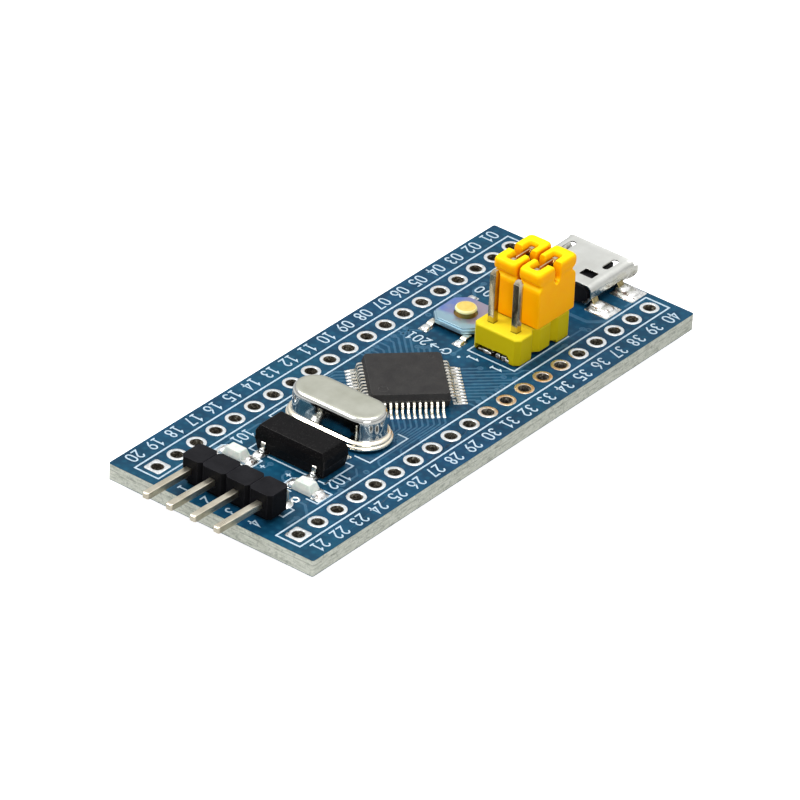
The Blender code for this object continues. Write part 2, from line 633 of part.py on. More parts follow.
# (distance from the centre line, z) up one side of the insulator block
USB_BLOCK_SIDE = ((2.35, TOP + 0.35), (3.0, TOP + 0.75), (3.2, TOP + 1.1),
                  (3.2, TOP + 1.6), (2.75, TOP + 2.02))
USB_CONTACT_X = [USB_X + (i - 2) * 0.65 for i in range(5)]
# (distance from USB_Y0 towards the mouth, z)
USB_CONTACT_PATH = ((-0.85, TOP + 0.095), (-0.35, TOP + 0.095), (-0.24, TOP + 0.2),
                    (-0.24, TOP + 1.08), (-0.1, TOP + 1.19), (4.9, TOP + 1.19))


def usb_ring(y, half):
    """A closed section from the (distance from the centre line, z) points of one side."""
    both = list(half) + [(-x, z) for x, z in reversed(half)]
    return [(USB_X + x, y, z) for x, z in both]


def usb_section(y, flare, inset=0.0):
    """Shell section: flat wide top, round shoulders, tapered lower half."""
    half_width = USB_HALF_WIDTH - inset + flare
    top = USB_TOP - inset + flare
    bottom = USB_BOTTOM + inset
    radius = 0.7 - inset * 0.8
    half = []
    for i in range(5):
        angle = math.radians(90.0 * i / 4)
        half.append((half_width - radius + radius * math.sin(angle),
                     top - radius + radius * math.cos(angle)))
    half += [(half_width, TOP + 1.05), (half_width - 0.3, TOP + 0.55),
             (half_width - 0.75, bottom + 0.12), (half_width - 1.0, bottom)]
    return usb_ring(y, half)


def build_usb_shell():
    outer = [usb_section(y, flare) for y, flare in USB_STATIONS]
    inner = [usb_section(y, flare, USB_SHEET) for y, flare in reversed(USB_STATIONS)]
    shell = piece("usb_shell", outer + inner, SHELL_STEEL, smooth=35, closed=True)
    windows, tabs = [], []
    for side in (-1, 1):
        for distance, half, y0, y1 in USB_WINDOWS:
            x = USB_X + side * distance
            windows.append(box(x - half, x + half, y0, y1, USB_TOP - 0.35, USB_TOP + 0.5))
        for y in USB_TAB_Y:
            tabs.append(strip(USB_TAB_PATH, 0.15, 1.0, (USB_X, y), (side, 0)))
    boolean(shell, windows)
    boolean(shell, tabs, "UNION")


def build_usb_insulator():
    """A block at the -Y end, a thin tongue towards the mouth, contact grooves."""
    block = [usb_ring(y, USB_BLOCK_SIDE) for y in (USB_Y0 - 0.15, USB_Y0 + 1.7)]
    insulator = piece("usb_insulator", block, BLACK)
    tongue = box(USB_X - 1.95, USB_X + 1.95, USB_Y0 + 0.8, USB_Y1 - 0.55, TOP + 1.27, TOP + 1.8)
    boolean(insulator, [tongue], "UNION")
    boolean(insulator, [box(x - 0.15, x + 0.15, USB_Y0 - 1, USB_Y0 + 3, TOP + 0.8, TOP + 1.262)
                        for x in USB_CONTACT_X])


def build_usb_contacts():
    for i, x in enumerate(USB_CONTACT_X, 1):
        contact = strip(USB_CONTACT_PATH, 0.11, 0.22, (x, USB_Y0), (0, 1))
        piece(f"usb_contact_{i}", contact, GOLD)


# ---------------------------------------------------------------- underside parts
REG_X, REG_Y = 0.6, 18.2
# (size in X, size in Y, z): a groove runs round the middle for the lead frame
REG_BODY = ((2.75, 1.45, -0.12), (2.9, 1.6, -0.53), (2.5, 1.2, -0.53),
            (2.5, 1.2, -0.73), (2.9, 1.6, -0.73), (2.75, 1.45, -1.2))
# (size in X, size in Y, z) round the section of the ring inside the groove
REG_FRAME = ((2.84, 1.54, -0.56), (2.84, 1.54, -0.70), (2.54, 1.24, -0.70), (2.54, 1.24, -0.56))
# (distance from the centre line, z)
REG_LEAD_PATH = ((0.7, -0.63), (0.95, -0.63), (1.08, -0.5), (1.1, -0.2), (1.2, -0.1),
                 (1.45, -0.1))
# (side in Y, X places of its leads)
REG_LEADS = ((-1, (-0.95, 0.0, 0.95)), (1, (-0.95, 0.95)))

CHIP_LENGTH, CHIP_WIDTH = 1.6, 0.85
# (x, y, axis of its length)
CAPACITORS = ((-2.6, 18.4, "Y"), (3.6, 18.4, "Y"), (-3.2, -4.6, "X"),
              (3.2, 4.2, "X"), (-2.8, -12.8, "Y"), (2.9, -12.8, "Y"))
RESISTORS = ((-5.2, 7.4, "X"), (0.4, -15.6, "X"), (3.9, -18.2, "Y"), (-3.9, -18.2, "Y"))


def build_regulator():
    piece("regulator_body", rectangles(REG_X, REG_Y, REG_BODY), MOULD)
    frame = piece("regulator_lead_frame", rectangles(REG_X, REG_Y, REG_FRAME), TIN, closed=True)
    boolean(frame, [strip(REG_LEAD_PATH, 0.11, 0.38, (REG_X + x, REG_Y), (0, side))
                    for side, places in REG_LEADS for x in places], "UNION")


def build_chips(kind, places, height, mat):
    # (amount off both sizes, z)
    stations = ((0.06, -0.02), (0, -0.06), (0, -height), (0.06, -height - 0.04))
    for i, (x, y, axis) in enumerate(places, 1):
        size_x, size_y = CHIP_LENGTH, CHIP_WIDTH
        if axis == "Y":
            size_x, size_y = size_y, size_x
        rings = rectangles(x, y, [(size_x - less, size_y - less, z) for less, z in stations])
        piece(f"{kind}_{i}", rings, mat)


# ---------------------------------------------------------------- build
for old in list(bpy.data.objects):
    bpy.data.objects.remove(old, do_unlink=True)

build_board()
build_mcu()
build_main_crystal()
build_clock_crystal()
build_leds()
build_reset_base()
build_reset_contacts()
build_reset_dome()
build_reset_cover()
build_reset_plunger()
build_boot_header()
build_jumper_caps()
build_debug_header()
build_usb_shell()
build_usb_insulator()
build_usb_contacts()
build_regulator()
build_chips("capacitor", CAPACITORS, height=0.8, mat=CAPACITOR)
build_chips("resistor", RESISTORS, height=0.47, mat=RESISTOR)
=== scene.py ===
# A microcontroller development board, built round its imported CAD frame.
# The board lies flat with its long side along Y and its underside at z = 0. The
# micro-USB socket is at the +Y end and the debug header at the -Y end. Lengths are
# millimetres until a mesh is finished, which scales it to metres.

import json
import math

import bmesh
import bpy
from mathutils import Matrix, Vector

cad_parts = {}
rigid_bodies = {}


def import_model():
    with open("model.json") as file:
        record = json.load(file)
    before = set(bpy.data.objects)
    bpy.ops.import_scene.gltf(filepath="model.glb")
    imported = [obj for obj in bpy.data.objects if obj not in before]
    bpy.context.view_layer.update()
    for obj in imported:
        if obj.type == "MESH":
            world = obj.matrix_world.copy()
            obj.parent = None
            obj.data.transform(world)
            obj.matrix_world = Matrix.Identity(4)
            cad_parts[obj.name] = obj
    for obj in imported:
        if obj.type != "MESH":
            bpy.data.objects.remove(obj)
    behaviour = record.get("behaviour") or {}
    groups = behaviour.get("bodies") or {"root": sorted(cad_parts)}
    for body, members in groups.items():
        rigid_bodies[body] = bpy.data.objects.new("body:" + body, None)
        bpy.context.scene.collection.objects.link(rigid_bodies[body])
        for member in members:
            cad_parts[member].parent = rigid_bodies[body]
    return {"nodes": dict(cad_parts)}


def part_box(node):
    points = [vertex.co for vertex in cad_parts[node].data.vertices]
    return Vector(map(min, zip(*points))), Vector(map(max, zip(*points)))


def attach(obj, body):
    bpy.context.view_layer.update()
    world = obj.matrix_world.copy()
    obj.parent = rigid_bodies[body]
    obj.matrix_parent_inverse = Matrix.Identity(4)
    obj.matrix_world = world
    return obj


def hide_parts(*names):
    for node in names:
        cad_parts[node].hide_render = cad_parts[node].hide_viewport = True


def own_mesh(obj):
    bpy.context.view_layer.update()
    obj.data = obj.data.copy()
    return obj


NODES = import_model()["nodes"]
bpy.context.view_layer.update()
MM = 0.001


class Box:
    """A CAD node's box: x, y is its centre, width runs along X and depth along Y."""

    def __init__(self, node):
        low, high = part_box(node)
        self.x0, self.y0, self.z0 = [c * 1000 for c in low]
        self.x1, self.y1, self.z1 = [c * 1000 for c in high]
        self.x, self.y = [(a + b) * 500 for a, b in zip(low[:2], high[:2])]
        self.width, self.depth = [(b - a) * 1000 for a, b in zip(low[:2], high[:2])]


def numbered(stem, count):
    """Names of the CAD nodes stem_1, stem_2 and so on."""
    return tuple("%s_%d" % (stem, k) for k in range(1, count + 1))


# ------------------------------------------------------- places shared by parts
PCB = Box("pcb")
TOP = PCB.z1
COPPER_TOP = TOP + 0.012
INK = 0.024  # height of a printed line
PITCH = 2.54
ROW_X = 3 * PITCH
ROWS = [(sx * ROW_X, 9.5 * PITCH - PITCH * i, i) for sx in (-1, 1) for i in range(20)]
ROW_PAD_EDGE = ROW_X - 0.8  # where a trace meets a row pad

BOOT = [Box(n) for n in numbered("boot_pin", 6)]
DEBUG = [Box(n) for n in numbered("debug_pin", 4)]
DEBUG_HOLE_Y = DEBUG[0].y1 - 0.32
HEADER = Box("boot_header_body")
LEDS = [Box("status_led_base"), Box("power_led_base")]
CLOCK = Box("clock_crystal_body")
CAN = Box("hc49_can")
MCU = Box("mcu_package")
SWITCH = Box("reset_base")
PLUNGER = Box("reset_plunger")
COVER = Box("reset_cover")
REGULATOR = Box("regulator_body")
CHIPS = numbered("capacitor", 6) + numbered("resistor", 4)

# soldered holes: x, y, pad radius; the header pins come before the thin can leads
PIN_DRILL = 1.04
HEADER_HOLES = [(b.x, b.y, 0.8) for b in BOOT] + [(b.x, DEBUG_HOLE_Y, 0.8) for b in DEBUG]
CAN_HOLES = [(b.x, b.y, 0.78) for b in map(Box, numbered("hc49_lead", 2))]
PIN_HOLES = HEADER_HOLES + CAN_HOLES


# ------------------------------------------------------------ material builder
def rgb(r, g, b):
    """Linear colour from 0..255 display values."""
    def linear(c):
        c /= 255.0
        return c / 12.92 if c <= 0.04045 else ((c + 0.055) / 1.055) ** 2.4
    return (linear(r), linear(g), linear(b), 1.0)


def dimmed(colour, factor):
    return tuple(c * factor for c in colour[:3]) + (1.0,)


class Material:
    """A small builder for node materials. Sizes and depths are millimetres."""

    def __init__(self, name):
        self.data = bpy.data.materials.new(name)
        self.data.use_nodes = True
        self.tree = self.data.node_tree
        self.shader = next(n for n in self.tree.nodes if n.type == "BSDF_PRINCIPLED")
        self.coordinates = self.node("TexCoord")
        self.surface = None

    def node(self, kind):
        return self.tree.nodes.new("ShaderNode" + kind)

    def link(self, output, socket):
        self.tree.links.new(output, socket)

    def feed(self, value, socket):
        """Link a node's output to a socket, or set a plain value on it."""
        if hasattr(value, "is_linked"):
            self.link(value, socket)
        else:
            socket.default_value = value

    def set(self, **inputs):
        for name, value in inputs.items():
            self.feed(value, self.shader.inputs[name.replace("_", " ")])

    def geometry(self, output):
        if self.surface is None:
            self.surface = self.node("NewGeometry")
        return self.surface.outputs[output]

    def mapped(self, stretch=(1, 1, 1)):
        n = self.node("Mapping")
        n.inputs["Scale"].default_value = stretch
        n.inputs["Rotation"].default_value = (0, 0, 0)
        self.link(self.coordinates.outputs["Object"], n.inputs["Vector"])
        return n.outputs["Vector"]

    def noise(self, size, detail=3.0, stretch=(1, 1, 1), rough=0.55, distort=0.0):
        """Noise whose features are about size across."""
        n = self.node("TexNoise")
        n.inputs["Scale"].default_value = 1000.0 / size
        n.inputs["Detail"].default_value = detail
        n.inputs["Roughness"].default_value = rough
        n.inputs["Distortion"].default_value = distort
        self.link(self.mapped(stretch), n.inputs["Vector"])
        return n.outputs["Fac"]

    def wave(self, size, axis):
        n = self.node("TexWave")
        n.bands_direction = axis
        n.inputs["Scale"].default_value = 1000.0 / size / 6.2832 * 2
        n.inputs["Distortion"].default_value = 0.6
        n.inputs["Detail"].default_value = 1.0
        self.link(self.mapped(), n.inputs["Vector"])
        return n.outputs["Fac"]

    def ramp(self, fac, stops):
        """Colour ramp through (position, colour) stops."""
        n = self.node("ValToRGB")
        elements = n.color_ramp.elements
        while len(elements) < len(stops):
            elements.new(0.5)
        for element, (position, colour) in zip(elements, stops):
            element.position = position
            element.color = colour
        self.link(fac, n.inputs["Fac"])
        return n.outputs["Color"]

    def range(self, fac, span, to=(0, 1)):
        """Clamped remap of span onto to."""
        n = self.node("MapRange")
        n.clamp = True
        for key, value in zip(("From Min", "From Max", "To Min", "To Max"), (*span, *to)):
            n.inputs[key].default_value = value
        self.link(fac, n.inputs["Value"])
        return n.outputs["Result"]

    def patches(self, size, detail=3.0, span=(0.35, 0.65), to=(0, 1), stretch=(1, 1, 1)):
        """Noise remapped into soft patches."""
        return self.range(self.noise(size, detail, stretch), span, to)

    def roughness(self, size, to, detail=3.0, stretch=(1, 1, 1)):
        self.set(Roughness=self.patches(size, detail, (0.3, 0.7), to, stretch))

    def mix(self, fac, a, b):
        n = self.node("Mix")
        n.data_type = "RGBA"
        for index, value in ((0, fac), (6, a), (7, b)):
            self.feed(value, n.inputs[index])
        return n.outputs[2]

    def math(self, operation, a, b=0.0):
        n = self.node("Math")
        n.operation = operation
        self.feed(a, n.inputs[0])
        self.feed(b, n.inputs[1])
        return n.outputs[0]

    def split(self, vector):
        n = self.node("SeparateXYZ")
        self.link(vector, n.inputs[0])
        return n.outputs

    def place(self):
        """The object X, Y and Z sockets, in metres."""
        return self.split(self.coordinates.outputs["Object"])

    def normal_z(self):
        return self.split(self.geometry("Normal"))[2]

    def bump(self, *layers):
        """Each layer is (height, depth)."""
        last = None
        for height, depth in layers:
            n = self.node("Bump")
            n.inputs["Strength"].default_value = 1.0
            n.inputs["Distance"].default_value = depth * MM
            self.link(height, n.inputs["Height"])
            if last is not None:
                self.link(last, n.inputs["Normal"])
            last = n.outputs["Normal"]
        self.link(last, self.shader.inputs["Normal"])

    def edges(self):
        """0 on flats, 1 on edges, whatever the mesh density."""
        n = self.node("Bevel")
        n.samples = 3
        n.inputs["Radius"].default_value = 0.06 * MM
        dot = self.node("VectorMath")
        dot.operation = "DOT_PRODUCT"
        self.link(n.outputs["Normal"], dot.inputs[0])
        self.link(self.geometry("Normal"), dot.inputs[1])
        return self.range(dot.outputs["Value"], (0.985, 0.90))


# ------------------------------------------------------------ general materials
def metal(name, tones, rough, size, grain=0.05, depth=0.0012, stretch=(1, 1, 1)):
    """Two tones in patches of a size, streaked roughness, fine grain."""
    m = Material(name)
    m.set(Base_Color=m.mix(m.patches(size, detail=4.0), *tones), Metallic=1.0)
    m.roughness(grain * 4, to=rough, stretch=stretch)
    m.bump((m.noise(grain, 2.0, stretch), depth))
    return m.data


def plastic(name, tones, rough, size, grain=0.06, depth=0.0012, edge=None, sink=0.006, spec=0.4):
    """Slow tone drift, fine grain, shallow sinks. An edge colour turns on painted shade, which
    darkens the sides, and pale edges in patches that are partly worn edges and partly painted
    glints.
    """
    m = Material(name)
    # painted shade: faces turned away from up are dimmed to 0.4
    if edge:
        up = m.range(m.normal_z(), (0.2, 0.8))
        tones = [m.mix(up, dimmed(c, 0.4), c) for c in tones]
    colour = m.mix(m.patches(size, span=(0.3, 0.7)), *tones)
    # pale edges in patches: partly worn edges, partly a painted highlight
    if edge:
        edges = m.edges()
        worn_and_glint = m.patches(size=0.3, detail=2.0, span=(0.3, 0.7), to=(0.0, 0.9))
        colour = m.mix(m.math("MULTIPLY", edges, worn_and_glint), colour, edge)
    m.set(Base_Color=colour, Specular_IOR_Level=spec)
    m.roughness(size=0.25, to=rough)
    m.bump((m.noise(grain), depth), (m.noise(size=0.9, detail=1.0), sink))
    return m.data


def moulded(name, top, side, deep, hollow_shade, rough, sss, painted_glow=0.0):
    """Bright plastic with painted light: paler where it faces up, painted shade in creases and
    hollows, a painted highlight on ridges, random deeper tone in patches, and a painted glow
    outside the hollows if asked.
    """
    m = Material(name)
    # painted light: faces that look up get the paler top colour, sideways faces the darker side
    # colour
    colour = m.mix(m.range(m.normal_z(), (0.1, 0.9)), side, top)
    # painted shade in creases: concave places take the deep colour
    colour = m.mix(m.range(m.geometry("Pointiness"), (0.49, 0.44)), colour, deep)
    colour = m.mix(m.patches(size=2.2, span=(0.35, 0.7), to=(0.0, 0.22)), colour, deep)
    # painted highlight: convex ridges take the paler top colour
    ridge_highlight = m.range(m.geometry("Pointiness"), (0.53, 0.60), to=(0.0, 0.7))
    colour = m.mix(ridge_highlight, colour, top)
    # painted shade in hollows, found by ambient occlusion
    occlusion = m.node("AmbientOcclusion")
    occlusion.samples = 4
    occlusion.inputs["Distance"].default_value = 1.3 * MM
    ao_shade = m.range(occlusion.outputs["AO"], (0.50, 0.14), to=(0.0, 0.95))
    colour = m.mix(ao_shade, colour, hollow_shade)
    m.set(Base_Color=colour, Specular_IOR_Level=0.07)
    m.roughness(size=0.25, to=rough)
    m.set(Subsurface_Weight=sss, Subsurface_Scale=0.0004, Subsurface_Radius=(1.0, 0.5, 0.1))
    # painted glow: the plastic gives off a little light outside its hollows
    if painted_glow:
        m.set(Emission_Color=colour, Emission_Strength=m.range(ao_shade, (0.0, 1.0), to=(painted_glow, 0.0)))
    m.bump((m.noise(size=0.07), 0.0012), (m.noise(size=0.9, detail=1.0), 0.004))
    return m.data


# --------------------------------------------------------------- board materials
def mask_material(name, lift=0.0):
    """Blue solder mask over a glass weave. Lift pales it where copper lies under it."""
    m = Material(name)
    base = m.mix(m.patches(size=14.0, detail=2.0), rgb(11, 71, 96), rgb(16, 65, 99))
    base = m.mix(m.patches(size=3.0, span=(0.4, 0.66), to=(0, 0.85)), base, rgb(8, 50, 74))
    weave = m.math("MULTIPLY", m.wave(size=0.9, axis="X"), m.wave(size=0.9, axis="Y"))
    base = m.mix(m.range(weave, (0.2, 0.9), to=(0.0, 0.22)), base, rgb(36, 104, 132))
    if lift:
        base = m.mix(lift, base, rgb(100, 146, 176))
    m.set(Base_Color=base, Coat_Weight=0.05, Coat_Roughness=0.16)
    m.set(IOR=1.5, Specular_IOR_Level=0.10)
    m.roughness(size=0.5, detail=4.0, to=(0.30, 0.44))
    m.bump((m.noise(size=0.35, detail=2.0), 0.002), (weave, 0.0015))
    return m.data


def laminate_material():
    """The routed edge: glass layers seen end on between two blue skins."""
    m = Material("laminate_edge")
    z = m.place()[2]
    layers = m.noise(size=1000, detail=4.0, stretch=(900, 900, 5000), rough=0.5)
    fibres = m.noise(size=0.16, stretch=(1, 1, 1.5))
    colour = m.ramp(layers, [(0.3, rgb(158, 164, 152)), (0.46, rgb(194, 199, 186)),
                             (0.62, rgb(210, 213, 202)), (0.75, rgb(178, 187, 174))])
    colour = m.mix(m.range(fibres, (0.52, 0.74), to=(0.0, 0.75)), colour, rgb(234, 234, 222))
    blotch = m.patches(size=0.28, span=(0.54, 0.72), to=(0.0, 0.6))
    colour = m.mix(blotch, colour, rgb(126, 134, 124))
    # a wandering dark seam near mid height
    seam_z = m.patches(size=5.0, detail=2.0, span=(0.3, 0.7), to=(0.95 * MM, 1.1 * MM))
    distance = m.math("ABSOLUTE", m.math("SUBTRACT", z, seam_z))
    seam = m.range(distance, (0.02 * MM, 0.07 * MM), to=(0.55, 0.0))
    broken = m.patches(size=1.1, span=(0.4, 0.6), to=(0.2, 1.0))
    colour = m.mix(m.math("MULTIPLY", seam, broken), colour, rgb(104, 108, 98))
    upper = m.range(z, ((TOP - 0.07) * MM, (TOP - 0.03) * MM))
    lower = m.range(z, (0.07 * MM, 0.03 * MM))
    colour = m.mix(m.math("MAXIMUM", upper, lower), colour, rgb(44, 84, 104))
    m.set(Base_Color=colour, Roughness=0.72, Specular_IOR_Level=0.3)
    m.bump((fibres, 0.012), (layers, 0.012))
    return m.data


def ink_material():
    m = Material("printed_legend")
    worn = m.patches(size=0.25, span=(0.45, 0.75), to=(0, 0.55))
    m.set(Base_Color=m.mix(worn, rgb(190, 209, 222), rgb(150, 182, 204)))
    m.roughness(size=0.12, detail=2.0, to=(0.42, 0.6))
    m.bump((m.noise(size=0.08, detail=2.0), 0.002))
    return m.data


def solder_material(name, tones, rough, flux=0.0):
    """Bright, lumpy solder; flux is the strength of its brown spots."""
    m = Material(name)
    colour = m.mix(m.patches(size=0.5, span=(0.35, 0.7)), *tones)
    m.set(Metallic=1.0)
    if flux:
        spot = m.patches(size=0.42, detail=2.0, span=(0.62, 0.66), to=(0.0, flux))
        colour = m.mix(spot, colour, rgb(92, 66, 44))
        m.set(Metallic=m.range(spot, (0.0, 1.0), to=(1.0, 0.2)))
    m.set(Base_Color=colour)
    m.roughness(size=0.2, to=rough)
    m.bump((m.noise(size=0.55, detail=2.0, distort=0.6), 0.02),
           (m.noise(size=0.1, detail=2.0), 0.001))
    return m.data


def pad_material():
    """Bright tinned pads, stained along part of the +X row."""
    m = Material("tinned_pads")
    colour = m.mix(m.patches(size=0.4, span=(0.35, 0.7)), rgb(246, 249, 250), rgb(216, 220, 220))
    x, y = m.place()[:2]
    right = m.range(x, (6.0 * MM, 6.4 * MM))
    band = m.math("MULTIPLY", m.range(y, (0.0, 2.2 * MM)), m.range(y, (12.5 * MM, 9.5 * MM)))
    stain = m.math("MULTIPLY", right, band)
    patchy = m.patches(size=0.7, detail=2.0, span=(0.35, 0.6), to=(0.2, 0.75))
    colour = m.mix(m.math("MULTIPLY", stain, patchy), colour, rgb(206, 172, 112))
    m.set(Base_Color=colour, Metallic=1.0)
    m.roughness(size=0.15, to=(0.22, 0.42))
    m.bump((m.noise(size=0.3, detail=2.0), 0.012))
    return m.data


def barrel_material():
    m = Material("plated_barrel")
    m.set(Base_Color=m.ramp(m.noise(size=0.22, detail=4.0, distort=0.5), [
        (0.34, rgb(62, 58, 52)), (0.50, rgb(104, 98, 88)),
        (0.60, rgb(150, 144, 130)), (0.70, rgb(232, 228, 214))]), Metallic=0.5)
    m.roughness(size=0.2, detail=2.0, to=(0.3, 0.55))
    m.bump((m.noise(size=0.25, detail=2.0), 0.02))
    return m.data


# ---------------------------------------------------------------- part materials
def shell_material():
    """Satin tin-plated steel, painted brighter on top than on its sides: the sides get patches of
    painted yellow-brown shading, and low down a painted dark reflection of the board.
    """
    m = Material("usb_shell_steel_skin")
    up = m.normal_z()
    z = m.place()[2]
    colour = m.mix(m.patches(size=2.5, detail=4.0), rgb(226, 227, 222), rgb(212, 213, 207))
    # painted shade: side faces take yellow-brown patches
    side = m.range(up, (0.6, 0.1))
    side_shading = m.patches(size=0.7, span=(0.4, 0.65), to=(0.1, 0.6))
    colour = m.mix(m.math("MULTIPLY", side, side_shading), colour, rgb(186, 184, 160))
    # painted reflection of the dark board, low on the sides
    low = m.range(z, ((TOP + 1.35) * MM, (TOP + 0.8) * MM))
    low_reflection_shade = m.math("MULTIPLY", low, m.patches(size=0.45, span=(0.45, 0.6)))
    colour = m.mix(low_reflection_shade, colour, rgb(84, 78, 58))
    m.set(Base_Color=colour, Metallic=1.0)
    brushed = (1, 0.15, 1)
    satin = m.patches(size=0.3, span=(0.3, 0.7), to=(0.34, 0.46), stretch=brushed)
    m.set(Roughness=m.math("SUBTRACT", satin, m.math("MULTIPLY", side, 0.14)))
    m.bump((m.noise(size=0.05, detail=2.0, stretch=brushed), 0.0012),
           (m.noise(size=1.2, detail=2.0), 0.010))
    return m.data


def can_material():
    """Drawn crystal can: satin top with a fine grain, mirror-bright wall."""
    m = Material("crystal_can")
    top = m.range(m.normal_z(), (0.75, 0.98))
    wall = m.mix(m.patches(size=1.8), rgb(214, 214, 208), rgb(186, 188, 186))
    lid = m.mix(m.patches(size=2.6, detail=4.0), rgb(200, 201, 188), rgb(182, 183, 168))
    colour = m.mix(top, wall, lid)
    # painted highlight: the flange low on the can is paler cream
    foot = m.range(m.place()[2], ((TOP + 1.0) * MM, (TOP + 0.86) * MM))
    m.set(Base_Color=m.mix(foot, colour, rgb(246, 238, 218)), Metallic=1.0)
    wall_rough = m.patches(size=0.8, span=(0.3, 0.7), to=(0.07, 0.15), stretch=(1, 1, 0.3))
    lid_rough = m.patches(size=0.12, detail=4.0, span=(0.3, 0.7), to=(0.30, 0.44))
    lid_share = m.math("MULTIPLY", lid_rough, top)
    wall_share = m.math("MULTIPLY", wall_rough, m.math("SUBTRACT", 1.0, top))
    m.set(Roughness=m.math("ADD", lid_share, wall_share))
    m.bump((m.noise(size=0.6, detail=2.0, stretch=(1, 1, 0.25)), 0.006),
           (m.noise(size=0.05, detail=2.0), 0.0004))
    return m.data


def epoxy(name, tones, rough=(0.5, 0.66), speck_and_glint=1.0):
    """Epoxy moulding: a fine grain and pale specks, with edges painted paler as glints; its last
    argument scales both the specks and the painted glints.
    """
    m = Material(name)
    colour = m.mix(m.patches(size=1.6, detail=4.0), *tones)
    specks = m.patches(size=0.07, detail=2.0, span=(0.62, 0.8), to=(0.0, 0.22 * speck_and_glint))
    colour = m.mix(specks, colour, rgb(150, 148, 146))
    # painted highlight: edges take a pale grey as glints
    colour = m.mix(m.math("MULTIPLY", m.edges(), 0.35 * speck_and_glint), colour, rgb(138, 136, 134))
    m.set(Base_Color=colour, Specular_IOR_Level=0.06)
    m.roughness(size=0.1, to=rough)
    m.bump((m.noise(size=0.09), 0.004))
    return m.data


def lens_material():
    m = Material("led_resin")
    colour = m.mix(m.patches(size=0.5, span=(0.4, 0.7)), rgb(238, 240, 230), rgb(214, 228, 220))
    m.set(Base_Color=colour, Transmission_Weight=0.08, IOR=1.5)
    m.set(Coat_Weight=0.3, Coat_Roughness=0.06)
    m.roughness(size=0.2, detail=2.0, to=(0.10, 0.25))
    m.set(Subsurface_Weight=0.35, Subsurface_Scale=0.0005, Subsurface_Radius=(0.8, 1.0, 0.8))
    m.bump((m.noise(size=0.5, detail=2.0), 0.03))
    return m.data


def cover_material():
    """Button cover: satin steel painted with reflections: blue towards -X, pinkish grey towards
    +X, bluish grey clouds, pale cyan towards the -Y end.
    """
    m = Material("button_cover")
    place = m.place()
    wobble = m.patches(size=1.3, detail=2.0, span=(0.3, 0.7), to=(-0.5 * MM, 0.5 * MM))
    x = m.math("ADD", place[0], wobble)
    y = m.math("ADD", place[1], wobble)
    # painted reflection: the tint runs from blue to pinkish grey across X
    across = m.range(x, ((COVER.x - 1.9) * MM, (COVER.x - 0.2) * MM))
    colour = m.mix(across, rgb(106, 130, 196), rgb(160, 146, 162))
    cloud = m.patches(size=0.9, detail=2.0, span=(0.5, 0.7), to=(0, 0.6))
    colour = m.mix(cloud, colour, rgb(142, 150, 176))
    # painted reflection: pale cyan towards the -Y end
    near_end_reflection = m.range(y, ((COVER.y - 0.7) * MM, (COVER.y - 1.5) * MM))
    colour = m.mix(near_end_reflection, colour, rgb(148, 180, 194))
    m.set(Base_Color=colour, Metallic=0.7, Coat_Weight=0.2, Coat_Roughness=0.15)
    m.roughness(size=0.1, to=(0.26, 0.42), stretch=(1, 6, 1))
    m.bump((m.noise(size=0.06, detail=2.0, stretch=(1, 5, 1)), 0.0012))
    return m.data


def plunger_material():
    """Cream disc with a painted highlight on its rounded rim, above a stem painted dark as shade.
    """
    m = Material("plunger_cream_skin")
    # painted highlight on the rounded rim of the disc
    rim = m.range(m.normal_z(), (0.985, 0.80))
    colour = m.mix(m.patches(size=0.8, detail=2.0), rgb(224, 200, 112), rgb(214, 188, 94))
    colour = m.mix(rim, colour, rgb(244, 246, 184))
    # painted shade: below the disc the stem takes dark green-brown tones
    low = m.range(m.place()[2], ((PLUNGER.z1 - 0.20) * MM, (PLUNGER.z1 - 0.30) * MM))
    stem_shade_tone = m.patches(size=0.9, detail=1.0, span=(0.4, 0.6))
    colour = m.mix(low, colour, m.mix(stem_shade_tone, rgb(120, 122, 62), rgb(158, 124, 60)))
    m.set(Base_Color=colour, Specular_IOR_Level=0.2)
    m.set(Subsurface_Weight=0.05, Subsurface_Scale=0.0003, Subsurface_Radius=(1.0, 0.6, 0.2))
    m.roughness(size=0.2, detail=2.0, to=(0.28, 0.4))
    m.bump((m.noise(size=0.08, detail=2.0), 0.001))
    return m.data


def chip_material(name, body, axis):
    """A chip part: a ceramic body with tinned caps at both ends of an axis."""
    m = Material(name)
    along = m.split(m.coordinates.outputs["Generated"])[axis]
    off_middle = m.math("ABSOLUTE", m.math("SUBTRACT", along, 0.5))
    uneven = m.patches(size=0.2, detail=2.0, span=(0, 1), to=(-0.02, 0.02))
    end = m.range(m.math("ADD", off_middle, uneven), (0.30, 0.31))
    tin = m.mix(m.noise(size=0.3), rgb(222, 222, 220), rgb(176, 178, 178))
    ceramic = m.mix(m.noise(size=0.3), body, dimmed(body, 0.8))
    m.set(Base_Color=m.mix(end, ceramic, tin), Metallic=end)
    m.roughness(size=0.2, detail=2.0, to=(0.25, 0.45))
    m.bump((m.noise(size=0.12, detail=2.0), 0.003))
    return m.data


